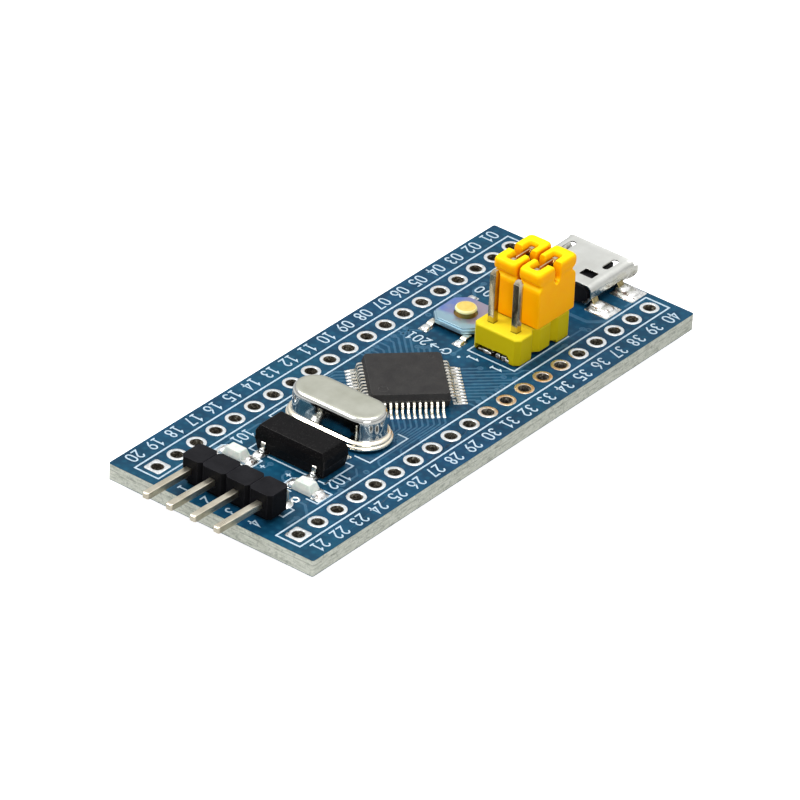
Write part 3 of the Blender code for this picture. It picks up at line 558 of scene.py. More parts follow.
LOOKS = {
    "mask": mask_material("solder_mask_blue"),
    "trace": mask_material("mask_over_copper", lift=0.26),
    "fr4": laminate_material(),
    "ink": ink_material(),
    "pads": pad_material(),
    "barrel": barrel_material(),
    "solder": solder_material(
        "solder", (rgb(240, 241, 238), rgb(204, 206, 202)), rough=(0.18, 0.32)),
    "solder_fine": metal("solder_fine", (rgb(232, 233, 230), rgb(206, 207, 204)),
                         rough=(0.30, 0.42), size=0.6, grain=0.1, depth=0.001),
    "solder_flux": solder_material(
        "solder_fluxed", (rgb(250, 250, 248), rgb(216, 216, 212)), rough=(0.22, 0.36), flux=0.9),
    "tab": metal("usb_tab_steel", (rgb(206, 190, 140), rgb(140, 126, 88)),
                 rough=(0.16, 0.3), size=0.4),
    "solder_dull": solder_material(
        "solder_dull", (rgb(204, 206, 206), rgb(158, 160, 160)), rough=(0.2, 0.4)),
    "can": can_material(),
    "epoxy": epoxy("epoxy_package", (rgb(58, 57, 56), rgb(50, 49, 49))),
    "epoxy_black": epoxy("clock_crystal_mould", (rgb(14, 13, 14), rgb(9, 9, 10)),
                         rough=(0.36, 0.48), speck_and_glint=1.3),
    "tin": metal("tin_plate", (rgb(222, 219, 210), rgb(196, 192, 182)),
                 rough=(0.14, 0.3), size=0.9, stretch=(1, 1, 0.2)),
    "pin": metal("pin_tin", (rgb(214, 202, 176), rgb(184, 170, 138)), rough=(0.10, 0.18),
                 size=1.4, grain=0.06, depth=0.0001, stretch=(1, 1, 0.12)),
    "pin_debug": metal("debug_pin_tin", (rgb(216, 210, 192), rgb(196, 188, 168)),
                       rough=(0.26, 0.38), size=1.4, depth=0.0003, stretch=(1, 0.12, 1)),
    "lead": metal("lead_tin", (rgb(240, 238, 230), rgb(196, 188, 168)),
                  rough=(0.22, 0.34), size=0.6, grain=0.06, depth=0.0006),
    # the edge colour paints pale edges, partly worn and partly glints, and turns on painted shade
    # on the sides
    "black": plastic("black_plastic", (rgb(31, 31, 34), rgb(21, 21, 24)), rough=(0.42, 0.56),
                     size=1.5, grain=0.05, depth=0.002, edge=rgb(64, 64, 70),
                     sink=0.001, spec=0.05),
    "base_black": plastic("button_base_black", (rgb(22, 23, 26), rgb(16, 17, 20)),
                          rough=(0.35, 0.5), size=1.0, grain=0.05, depth=0.001, spec=0.08),
    "lens": lens_material(),
    # a dark brown film: painted shade on the board under the boot header
    "flux": plastic("shade_film", (rgb(44, 34, 24), rgb(28, 24, 20)),
                    rough=(0.2, 0.35), size=0.6, grain=0.08, depth=0.002, spec=0.3),
    "ceramic": plastic("led_ceramic", (rgb(232, 234, 228), rgb(212, 216, 208)),
                       rough=(0.35, 0.5), size=0.8, depth=0.001),
    "cover": cover_material(),
    "dome": metal("dome_steel_skin", (rgb(214, 210, 196), rgb(190, 186, 172)),
                  rough=(0.16, 0.3), size=0.8),
    "cream": plunger_material(),
    # the top and side colours are lit and shaded copies of one plastic; the deep colour paints
    # shade in creases as well as random tone, and the hollow colour paints shade in hollows
    "yellow": moulded("header_yellow_skin", top=rgb(238, 218, 44), side=rgb(212, 192, 16),
                      deep=rgb(204, 176, 4), hollow_shade=rgb(84, 66, 8),
                      rough=(0.34, 0.48), sss=0.08),
    # the orange caps also get a painted glow outside their hollows
    "orange": moulded("jumper_orange_skin", top=rgb(255, 226, 18), side=rgb(255, 178, 0),
                      deep=rgb(255, 138, 0), hollow_shade=rgb(206, 82, 0),
                      rough=(0.32, 0.44), sss=0.15, painted_glow=0.10),
    "bronze": metal("clip_bronze_skin", (rgb(222, 200, 160), rgb(190, 166, 124)),
                    rough=(0.16, 0.3), size=0.8, depth=0.001, stretch=(1, 1, 0.2)),
    "shell": shell_material(),
    "gold": metal("contact_gold_skin", (rgb(232, 204, 140), rgb(214, 182, 112)),
                  rough=(0.16, 0.28), size=0.6),
    "quartz": plastic("quartz_skin", (rgb(226, 234, 236), rgb(206, 216, 220)),
                      rough=(0.05, 0.12), size=1.0),
    "seal": plastic("seal_glass_skin", (rgb(26, 44, 48), rgb(18, 32, 36)),
                    rough=(0.06, 0.14), size=0.5),
}
for kind, tint, body_colour in (("capacitor", "tan", rgb(160, 128, 92)),
                                ("resistor", "black", rgb(30, 30, 34))):
    for axis, letter in enumerate("xy"):
        LOOKS[kind + "_" + letter] = chip_material("chip_%s_%s" % (tint, letter),
                                                   body_colour, axis)

SLOT_LOOKS = {
    "solder_mask": "mask trace fr4 ink flux",
    "tinned_metal": "pads barrel solder solder_flux solder_fine tin pin pin_debug lead",
    "usb_shell": "tab shell",
    "can_steel": "can",
    "mould_compound": "epoxy",
    "black_plastic": "epoxy_black black base_black",
    "led_lens": "lens",
    "white_ceramic": "ceramic",
    "cover_steel": "cover",
    "dome_steel": "dome",
    "plunger_cream": "cream",
    "header_yellow": "yellow",
    "jumper_orange": "orange",
    "clip_bronze": "bronze",
    "contact_gold": "gold",
}
SLOT = {look: slot for slot, looks in SLOT_LOOKS.items() for look in looks.split()}


# -------------------------------------------------------------------- outlines
def rounded_rect(x, y, width, depth, z, corner=0.0, steps=4):
    """A rectangle outline about a centre, with round corners if asked."""
    hx, hy = width / 2, depth / 2
    r = min(corner, hx, hy)
    if r <= 1e-6:
        return [(x + a * hx, y + b * hy, z) for a, b in ((-1, -1), (1, -1), (1, 1), (-1, 1))]
    points = []
    for sx, sy, start in ((1, -1, -90), (1, 1, 0), (-1, 1, 90), (-1, -1, 180)):
        for k in range(steps + 1):
            a = math.radians(start + 90 * k / steps)
            points.append((x + sx * (hx - r) + r * math.cos(a),
                           y + sy * (hy - r) + r * math.sin(a), z))
    return points


def circle(x, y, radius, z, count=32, phase=0.0):
    angles = [phase + 2 * math.pi * i / count for i in range(count)]
    return [(x + radius * math.cos(a), y + radius * math.sin(a), z) for a in angles]


def stadium(x, y, width, depth, z, steps):
    """A slot outline along X: straight sides and round ends."""
    r = depth / 2
    half = width / 2 - r
    points = []
    for s in (1, -1):
        for k in range(steps + 1):
            a = -math.pi / 2 + math.pi * k / steps + (0 if s > 0 else math.pi)
            points.append((x + s * half + r * math.cos(a), y + r * math.sin(a), z))
    return points


def turned(outline, x, y, angle):
    """An outline turned about the vertical through (x, y)."""
    c, s = math.cos(angle), math.sin(angle)
    return [(x + c * (px - x) - s * (py - y), y + s * (px - x) + c * (py - y), z)
            for px, py, z in outline]


def raised(points, base=TOP):
    """A (distance, height) profile with its heights measured from base."""
    return [(a, base + h) for a, h in points]


def sides(path, width, closed=False):
    """Left and right offsets of a flat polyline, mitred at its corners."""
    count = len(path)
    left, right = [], []
    for i, (x, y) in enumerate(path):
        headings = []
        for a, b in ((i - 1, i), (i, i + 1)):
            if not closed and (a < 0 or b >= count):
                continue
            p, q = path[a % count], path[b % count]
            dx, dy = q[0] - p[0], q[1] - p[1]
            length = math.hypot(dx, dy) or 1.0
            headings.append((dx / length, dy / length))
        if len(headings) == 1:
            nx, ny, mitre = -headings[0][1], headings[0][0], 1.0
        else:
            ax, ay, bx, by = -headings[0][1], headings[0][0], -headings[1][1], headings[1][0]
            nx, ny = ax + bx, ay + by
            length = math.hypot(nx, ny) or 1.0
            nx, ny = nx / length, ny / length
            mitre = 1.0 / max(0.35, nx * ax + ny * ay)
        left.append((x + nx * mitre * width / 2, y + ny * mitre * width / 2))
        right.append((x - nx * mitre * width / 2, y - ny * mitre * width / 2))
    return left, right


def round_end(a, b):
    """Points of a half-round line end, from b round to a."""
    x, y = (a[0] + b[0]) / 2, (a[1] + b[1]) / 2
    r = math.hypot(a[0] - x, a[1] - y)
    start = math.atan2(b[1] - y, b[0] - x)
    return [(x + r * math.cos(start + math.pi * t / 6), y + r * math.sin(start + math.pi * t / 6))
            for t in range(1, 6)]


def arc(x, y, radius, start, end, steps):
    """Arc points between two angles in degrees."""
    angles = [math.radians(start + (end - start) * k / steps) for k in range(steps + 1)]
    return [(x + radius * math.cos(a), y + radius * math.sin(a)) for a in angles]


def fillet(path, radius, steps=5):
    """Round the corners of a polyline with arcs."""
    out = [path[0]]
    for before, corner, after in zip(path[:-2], path[1:-1], path[2:]):
        a = Vector((before[0] - corner[0], before[1] - corner[1]))
        b = Vector((after[0] - corner[0], after[1] - corner[1]))
        room_a, room_b = a.length, b.length
        a.normalize()
        b.normalize()
        angle = a.angle(b)
        if angle > math.pi - 0.02:
            out.append(corner)
            continue
        setback = min(radius / math.tan(angle / 2), room_a * 0.48, room_b * 0.48)
        r = setback * math.tan(angle / 2)
        centre = Vector(corner) + (a + b).normalized() * (r / math.sin(angle / 2))
        first = Vector(corner) + a * setback - centre
        last = Vector(corner) + b * setback - centre
        start = math.atan2(first.y, first.x)
        end = math.atan2(last.y, last.x)
        turn = (end - start + math.pi) % (2 * math.pi) - math.pi
        for k in range(steps + 1):
            t = start + turn * k / steps
            out.append((centre.x + r * math.cos(t), centre.y + r * math.sin(t)))
    out.append(path[-1])
    return out


def hash01(*keys):
    """A fixed pseudo-random number from its arguments."""
    total = 0.0
    for i, v in enumerate(keys):
        total += math.sin(v * (12.9898 + 7.13 * i) + 4.1 * i) * 43758.5453
    return total - math.floor(total)


# ----------------------------------------------------------------- mesh builder
def shade(thing, angle):
    """Smooth shading with edges steeper than an angle kept sharp."""
    thing.data.shade_smooth()
    thing.data.set_sharp_from_angle(angle=math.radians(angle))


class Part:
    """A mesh under construction, in millimetres."""

    def __init__(self):
        self.mesh = bmesh.new()

    def ring(self, points):
        return [self.mesh.verts.new(p) for p in points]

    def face(self, verts):
        return self.mesh.faces.new(verts)

    def bridge(self, low, high):
        """Quads between two closed rings."""
        count = len(low)
        return [self.face((low[i], low[(i + 1) % count], high[(i + 1) % count], high[i]))
                for i in range(count)]

    def loft(self, outlines, caps=True):
        rings = [self.ring(o) for o in outlines]
        for low, high in zip(rings[:-1], rings[1:]):
            self.bridge(low, high)
        if caps:
            self.face(rings[0][::-1])
            self.face(rings[-1])

    def extrude(self, profile, places, axis):
        """Sweep a flat profile along axis 0 (a YZ profile) or 1 (an XZ profile)."""
        self.loft([[(p, a, b) if axis == 0 else (a, p, b) for a, b in profile]
                   for p in places])

    def stack(self, x, y, stations, steps, base=0.0):
        """Rounded rectangles over one centre: (width, depth, height, corner)."""
        self.loft([rounded_rect(x, y, w, d, base + z, r, steps) for w, d, z, r in stations])

    def slab(self, x, y, width, depth, z0, z1, corner=0.0, steps=3):
        self.stack(x, y, [(width, depth, z, corner) for z in (z0, z1)], steps)

    def block(self, x0, x1, y0, y1, z0, z1, corner=0.0, steps=3):
        self.slab((x0 + x1) / 2, (y0 + y1) / 2, x1 - x0, y1 - y0, z0, z1, corner, steps)

    def revolve(self, x, y, profile, count=32, closed=False):
        """Turn a (radius, height) profile about a vertical axis."""
        rings = [self.ring(circle(x, y, r, z, count) if r > 1e-6 else [(x, y, z)])
                 for r, z in profile]
        pairs = list(zip(rings[:-1], rings[1:]))
        if closed:
            pairs.append((rings[-1], rings[0]))
        for a, b in pairs:
            if len(a) > 1 and len(b) > 1:
                self.bridge(a, b)
                continue
            for i in range(count):
                j = (i + 1) % count
                self.face((a[0], b[j], b[i]) if len(a) == 1 else (a[i], a[j], b[0]))

    def ribbon(self, path, width, z0, z1, closed=False, soft=0.01):
        """A flat line with round ends, drawn in by soft at the z1 face."""
        points = [path[0]]
        for p in path[1:]:
            if math.hypot(p[0] - points[-1][0], p[1] - points[-1][1]) > 1e-4:
                points.append(p)
        left, right = sides(points, width, closed)
        left_in, right_in = sides(points, max(width - 2 * soft, 0.01), closed)
        if closed:
            self.loft([[(x, y, z) for x, y in line] for line, z in
                       ((right, z0), (right_in, z1), (left_in, z1), (left, z0))], caps=False)
            return
        rings = []
        for a, b, z in ((left, right, z0), (left_in, right_in, z1)):
            outline = b + round_end(a[-1], b[-1]) + a[::-1] + round_end(b[0], a[0])
            rings.append(self.ring([(x, y, z) for x, y in outline]))
        self.bridge(*rings)
        rim = rings[1]
        n = len(points)
        for i in range(n - 1):
            self.face((rim[i], rim[i + 1], rim[2 * n + 3 - i], rim[2 * n + 4 - i]))
        self.face(rim[n - 1:n + 6])
        self.face(rim[2 * n + 4:2 * n + 10] + [rim[0]])

    def sweep(self, path, width, thick, origin, heading, ease, widths=None):
        """A bent strip with eased edges. The path is (distance along heading, height)."""
        left, right = sides(path, thick)
        start = Vector((*origin, 0.0))
        along = Vector((*heading, 0.0)).normalized()
        across = Vector((-along.y, along.x, 0.0))
        inset = min(ease / thick, 0.45)
        outlines = []
        for i, (a, b) in enumerate(zip(left, right)):
            half = (width if widths is None else widths[i]) / 2
            near = (a[0] + (b[0] - a[0]) * inset, a[1] + (b[1] - a[1]) * inset)
            far = (b[0] + (a[0] - b[0]) * inset, b[1] + (a[1] - b[1]) * inset)
            outline = []
            for (reach, height), offset in (
                    (a, -half + ease), (a, half - ease), (near, half), (far, half),
                    (b, half - ease), (b, -half + ease), (far, -half), (near, -half)):
                p = start + along * reach + across * offset
                outline.append((p.x, p.y, height))
            outlines.append(outline)
        self.loft(outlines)

    def blob(self, x, y, width, depth, height, z, seed, count, lobes, angle=0.0,
             peak=(0.0, 0.0), power=0.5):
        """A small mound with an uneven outline, highest at peak from its centre."""
        levels, squareness = 6, 0.7
        c, s = math.cos(angle), math.sin(angle)
        rings = []
        for k in range(levels):
            f = k / levels
            shrink = math.cos(f * math.pi / 2) ** power
            outline = []
            for i in range(count):
                a = 2 * math.pi * i / count
                uneven = 1.0 + lobes * (hash01(seed, i // 2) - 0.5) * (1 - f)
                ca, sa = math.cos(a), math.sin(a)
                px = width / 2 * math.copysign(abs(ca) ** squareness, ca) * uneven
                py = depth / 2 * math.copysign(abs(sa) ** squareness, sa) * uneven
                px = px * shrink + peak[0] * f
                py = py * shrink + peak[1] * f
                outline.append((x + px * c - py * s, y + px * s + py * c,
                                z + height * math.sin(f * math.pi / 2)))
            rings.append(self.ring(outline))
        tip = self.mesh.verts.new((x + peak[0] * c - peak[1] * s,
                                   y + peak[0] * s + peak[1] * c, z + height))
        for low, high in zip(rings[:-1], rings[1:]):
            self.bridge(low, high)
        for i in range(count):
            self.face((rings[-1][i], rings[-1][(i + 1) % count], tip))
        self.face(rings[0][::-1])

    def to_object(self, name, outward=True):
        """Scale to metres and link into the scene."""
        if outward:
            bmesh.ops.recalc_face_normals(self.mesh, faces=self.mesh.faces)
        bmesh.ops.scale(self.mesh, vec=(MM, MM, MM), verts=self.mesh.verts)
        data = bpy.data.meshes.new(name)
        self.mesh.to_mesh(data)
        self.mesh.free()
        thing = bpy.data.objects.new(name, data)
        bpy.context.scene.collection.objects.link(thing)
        return thing

    def finish(self, name, *looks, smooth, body="board", replaces=(), merge=True):
        """Make the object, give it its looks and hang it on its body."""
        if merge:
            bmesh.ops.remove_doubles(self.mesh, verts=self.mesh.verts, dist=1e-4)
        thing = self.to_object(name)
        for look in looks:
            thing.data.materials.append(LOOKS[look])
        if smooth is not None:
            shade(thing, smooth)
        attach(thing, body)
        if replaces:
            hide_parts(*replaces)
        return thing


def bake(thing):
    """Apply an object's modifiers to its mesh."""
    depsgraph = bpy.context.evaluated_depsgraph_get()
    depsgraph.update()
    data = bpy.data.meshes.new_from_object(thing.evaluated_get(depsgraph))
    old = thing.data
    thing.modifiers.clear()
    thing.data = data
    data.name = thing.name
    bpy.data.meshes.remove(old)


def subtract(thing, cutter):
    """Cut one part's volume out of an object."""
    tool = cutter.to_object("tool")
    data = tool.data
    mod = thing.modifiers.new("cut", "BOOLEAN")
    mod.operation = "DIFFERENCE"
    mod.solver = "EXACT"
    mod.object = tool
    mod.use_self = True
    bake(thing)
    bpy.data.objects.remove(tool, do_unlink=True)
    bpy.data.meshes.remove(data)


def bevel(thing, width, segments=2, angle=35):
    mod = thing.modifiers.new("bevel", "BEVEL")
    mod.width = width * MM
    mod.segments = segments
    mod.limit_method = "ANGLE"
    mod.angle_limit = math.radians(angle)


VOXELLED = set()


def voxel(thing, size, rounds):
    """Rebuild a closed mesh on a fine grid and relax it, which rounds it."""
    VOXELLED.add(thing.name)
    grid = thing.modifiers.new("grid", "REMESH")
    grid.mode = "VOXEL"
    grid.voxel_size = size * MM
    relax = thing.modifiers.new("relax", "SMOOTH")
    relax.factor = 0.5
    relax.iterations = rounds
    bake(thing)
    shade(thing, 60)


def keep_node(node, look, width=0.0, segments=2):
    """A CAD node that stays in view gets its look and eased edges."""
    thing = NODES[node]
    if not thing.data.materials:
        thing.data.materials.append(LOOKS[look])
    for slot in thing.material_slots:
        slot.material = LOOKS[look]
    if width:
        weld = thing.modifiers.new("weld", "WELD")
        weld.merge_threshold = 1e-7
        bevel(thing, width, segments)


# ------------------------------------------------------------ board and plating
def board():
    """The drilled slab: mask on both faces, laminate edge, plated hole walls."""
    part = Part()
    outlines = [rounded_rect(PCB.x, PCB.y, PCB.width, PCB.depth, 0, 0.2, 6)]
    outlines += [circle(x, y, 0.575, 0) for x, y, _ in ROWS]
    outlines += [circle(x, y, PIN_DRILL / 2, 0, 24) for x, y, _ in PIN_HOLES]
    levels = []
    for z, up in ((TOP, 1), (0.0, -1)):
        edges, rings = [], []
        for outline in outlines:
            ring = part.ring([(p[0], p[1], z) for p in outline])
            edges += [part.mesh.edges.new((ring[i], ring[(i + 1) % len(ring)]))
                      for i in range(len(ring))]
            rings.append(ring)
        levels.append(rings)
        bmesh.ops.triangle_fill(part.mesh, use_beauty=True, use_dissolve=False,
                                edges=edges, normal=(0, 0, up))
    for i, (upper, lower) in enumerate(zip(*levels)):
        for face in part.bridge(upper, lower):
            face.material_index = 1 if i == 0 else 2
    part.finish("board_laminate", "mask", "fr4", "barrel", smooth=30,
                replaces=("pcb",), merge=False)


def pad_ring(x, y, radius, z, square, count):
    """A circle, or a square with cut corners made from the same points."""
    out = []
    for px, py, _ in circle(0, 0, 1.0, 0, count, math.pi / count):
        r = radius
        if square:
            r = min(radius / max(abs(px), abs(py)), radius * 1.34)
        out.append((x + px * r, y + py * r, z))
    return out


def pad(part, x, y, outer, inner, square=False, count=32):
    """A plated ring on both faces of the board; the barrel is separate."""
    # radius, height off the face, follows the pad's square outline
    stations = [(outer + 0.01, 0.002, True), (outer, 0.026, True), (outer - 0.07, 0.045, True),
                ((outer + inner) / 2, 0.05, False), (inner + 0.05, 0.04, False),
                (inner, -0.02, False)]
    for z, s in ((TOP, 1), (0.0, -1)):
        part.loft([pad_ring(x, y, r, z + s * h, square and shaped, count)
                   for r, h, shaped in stations], caps=False)


def plating():
    part = Part()
    for x, y, i in ROWS:
        pad(part, x, y, 0.87 if i < 19 else 0.86, 0.55, square=(i == 19))
    for x, y, radius in PIN_HOLES:
        pad(part, x, y, radius, 0.46, count=24)
    part.finish("plated_pads", "pads", smooth=40)
    part = Part()
    for x, y, _ in ROWS:
        part.revolve(x, y, [(0.575, 0.0), (0.55, -0.015), (0.535, 0.05), (0.53, TOP * 0.5),
                            (0.535, TOP - 0.05), (0.55, TOP + 0.015), (0.575, TOP)], closed=True)
    for x, y, _ in PIN_HOLES:
        part.revolve(x, y, [(0.515, 0.0), (0.46, 0.0), (0.46, TOP), (0.515, TOP)], 24,
                     closed=True)
    part.finish("plated_barrels", "barrel", smooth=50)


# --------------------------------------------------------------- printed legend
# strokes of each character in a cell one unit high
GLYPH = {
    "0": [arc(0.3, 0.7, 0.3, 0, 180, 8) + arc(0.3, 0.3, 0.3, 180, 360, 8)],
    "1": [[(0.1, 0.82), (0.3, 1.0), (0.3, 0.0)], [(0.1, 0.0), (0.5, 0.0)]],
    "2": [arc(0.3, 0.72, 0.28, 160, -30, 8) + [(0.02, 0.0), (0.6, 0.0)]],
    "3": [arc(0.28, 0.755, 0.245, 150, -80, 8), arc(0.28, 0.255, 0.255, 82, -150, 9)],
    "4": [[(0.46, 0.0), (0.46, 1.0), (0.02, 0.3), (0.64, 0.3)]],
    "5": [[(0.55, 1.0), (0.08, 1.0), (0.06, 0.58)] + arc(0.28, 0.31, 0.31, 120, -145, 9)],
    "6": [[(0.48, 1.0), (0.2, 0.72)] + arc(0.3, 0.3, 0.3, 150, 500, 14)],
    "7": [[(0.02, 1.0), (0.58, 1.0), (0.2, 0.0)]],
    "8": [arc(0.3, 0.76, 0.24, -90, 270, 14)[:-1], arc(0.3, 0.26, 0.26, 90, 450, 14)[:-1]],
    "9": [arc(0.3, 0.7, 0.3, -30, 320, 14) + [(0.4, 0.28), (0.12, 0.0)]],
    "+": [[(0.3, 0.2), (0.3, 0.8)], [(0.02, 0.5), (0.58, 0.5)]],
    "@": [arc(0.5, 0.5, 0.42, 60, 370, 16), [(0.72, 0.62), (0.92, 0.5), (1.08, 0.68)]],
    ">": [[(0.0, 0.5), (0.9, 0.5)], [(0.6, 0.8), (0.92, 0.5), (0.6, 0.2)]],
}
CLOSED_GLYPHS = "08"
GLYPH_WIDTH = {"@": 1.15, ">": 1.0, "1": 0.55}
GLYPH_GAP = 0.26
GLYPH_SQUEEZE = 0.82


def glyph_step(char):
    return GLYPH_WIDTH.get(char, 0.6) * GLYPH_SQUEEZE + GLYPH_GAP


def write(part, text, x, y, height, angle=-90.0, width=0.15):
    """Characters from (x, y) along an angle, standing on its left side."""
    c, s = math.cos(math.radians(angle)), math.sin(math.radians(angle))
    start = 0.0
    for char in text:
        for k, stroke in enumerate(GLYPH[char]):
            path = [(x + ((start + a * GLYPH_SQUEEZE) * c - b * s) * height,
                     y + ((start + a * GLYPH_SQUEEZE) * s + b * c) * height) for a, b in stroke]
            part.ribbon(path, width, TOP, TOP + INK + 0.002 * k, char in CLOSED_GLYPHS)
        start += glyph_step(char)


def text_length(text, height):
    return sum(glyph_step(char) for char in text) * height - GLYPH_GAP * height


def rectangle(x0, x1, y0, y1):
    return [(x0, y0), (x1, y0), (x1, y1), (x0, y1)]


def legend_top():
    part = Part()

    def line(*path):
        part.ribbon(path, 0.16, TOP, TOP + INK)

    for x, y, i in ROWS:
        label = "%02d" % (i + 1 if x < 0 else 40 - i)
        height = 1.16
        write(part, label, -10.66 if x < 0 else 9.42, y + text_length(label, height) / 2, height)
    # long boxes round the two rows
    for x0, x1 in ((-8.93, -6.36), (6.36, 8.9)):
        part.ribbon(rectangle(x0, x1, -25.5, 25.3), 0.17, TOP, TOP + INK, closed=True)
    # brackets beside the debug header
    line((4.54, -22.95), (5.03, -22.97), (5.03, -21.57), (4.58, -21.55))
    line((-4.3, -22.95), (-4.83, -22.97), (-4.83, -21.57), (-4.36, -21.55))
    for k, pin in enumerate(DEBUG):
        write(part, str(k + 1), pin.x - 0.5, -24.95, 1.15)
    # LED brackets: cut corners on the -X side
    for led in LEDS:
        x0, x1, y0, y1 = led.x0 - 0.62, led.x1 + 0.55, led.y0 - 0.32, led.y1 + 0.36
        c = 0.35
        line((x0 + 1.2, y1), (x0 + c, y1), (x0, y1 - c), (x0, y0 + c), (x0 + c, y0),
             (x0 + 1.2, y0))
        line((x1 - 1.15, y1), (x1, y1), (x1, y0), (x1 - 1.15, y0))
    status, power = LEDS
    write(part, "+", status.x1 + 0.75, status.y + 0.55, 0.75, width=0.13)
    write(part, "+", power.x0 - 1.5, power.y + 1.05, 0.75, width=0.13)
    write(part, "101", -5.85, -14.72, 1.05)
    write(part, "102", 4.42, -14.55, 1.15)
    # clock crystal
    line((-1.75, CLOCK.y0 - 0.16), (2.4, CLOCK.y0 - 0.16))
    for start, end, side in ((3.75, 3.7, CLOCK.x1 + 0.3), (-3.1, -3.1, CLOCK.x0 - 0.3)):
        line((start, CLOCK.y0 - 0.2), (side, CLOCK.y0 - 0.2),
             (side, CLOCK.y1 + 0.2), (end, CLOCK.y1 + 0.2))
    # main crystal
    for s, side in ((-1, CAN.x0 - 0.34), (1, CAN.x1 + 0.34)):
        line((side - s * 1.6, CAN.y0 - 0.3), (side, CAN.y0 - 0.3),
             (side, CAN.y1 + 0.1), (side - s * 1.0, CAN.y1 + 0.1))
    # dot by the microcontroller
    part.revolve(0.3, 6.55, raised([(0.0, 0.025), (0.14, 0.025), (0.16, 0.0)]), 16)
    # reset button
    write(part, "@>201", -0.62, 7.1, 1.08, angle=180)
    write(part, "0", -4.0, 17.0, 1.0, angle=180)
    write(part, "0", -4.95, 17.0, 1.0, angle=180)
    # boot header bracket with a 1 beside each column
    x0, x1, y0, y1 = HEADER.x0 + 0.02, HEADER.x1 + 0.06, HEADER.y0 - 0.46, HEADER.y1 - 0.4
    line((x0, y1), (x0, y0), (x1, y0), (x1, y1))
    for x in (BOOT[0].x, BOOT[3].x):
        write(part, "1", x - 0.55, 7.42, 1.0)
    part.finish("printed_legend_top", "ink", smooth=40)


def legend_under():
    """Boxes round the rows and the parts on the underside."""
    part = Part()
    for x0, x1 in ((-8.93, -6.36), (6.36, 8.93)):
        part.ribbon(rectangle(x0, x1, -25.5, 25.3), 0.17, 0.0, -INK, closed=True)
    for node in CHIPS + ("regulator_body",):
        b = Box(node)
        gap_x, gap_y = (0.55, 0.28) if b.width > b.depth else (0.28, 0.55)
        if node == "regulator_body":
            gap_x, gap_y = 0.3, 1.0
        part.ribbon(rectangle(b.x0 - gap_x, b.x1 + gap_x, b.y0 - gap_y, b.y1 + gap_y),
                    0.14, 0.0, -INK, closed=True)
    part.finish("printed_legend_under", "ink", smooth=40)


# -------------------------------------------------------------- traces and vias
LEADS_PER_SIDE = 12
LEAD_PITCH = 0.5


def heading(side):
    a = math.radians(side)
    return math.cos(a), math.sin(a)


def lead_place(side, k, reach=4.9):
    """A point on lead k's line, on the package side facing side degrees."""
    dx, dy = heading(side)
    offset = (k - 5.5) * LEAD_PITCH
    return MCU.x + dx * reach - dy * offset, MCU.y + dy * reach + dx * offset


def trace(part, path, width, radius=0.35, z0=TOP, z1=COPPER_TOP):
    path = fillet(path, radius) if len(path) > 2 else path
    part.ribbon(path, width, z0, z1, soft=0.02)


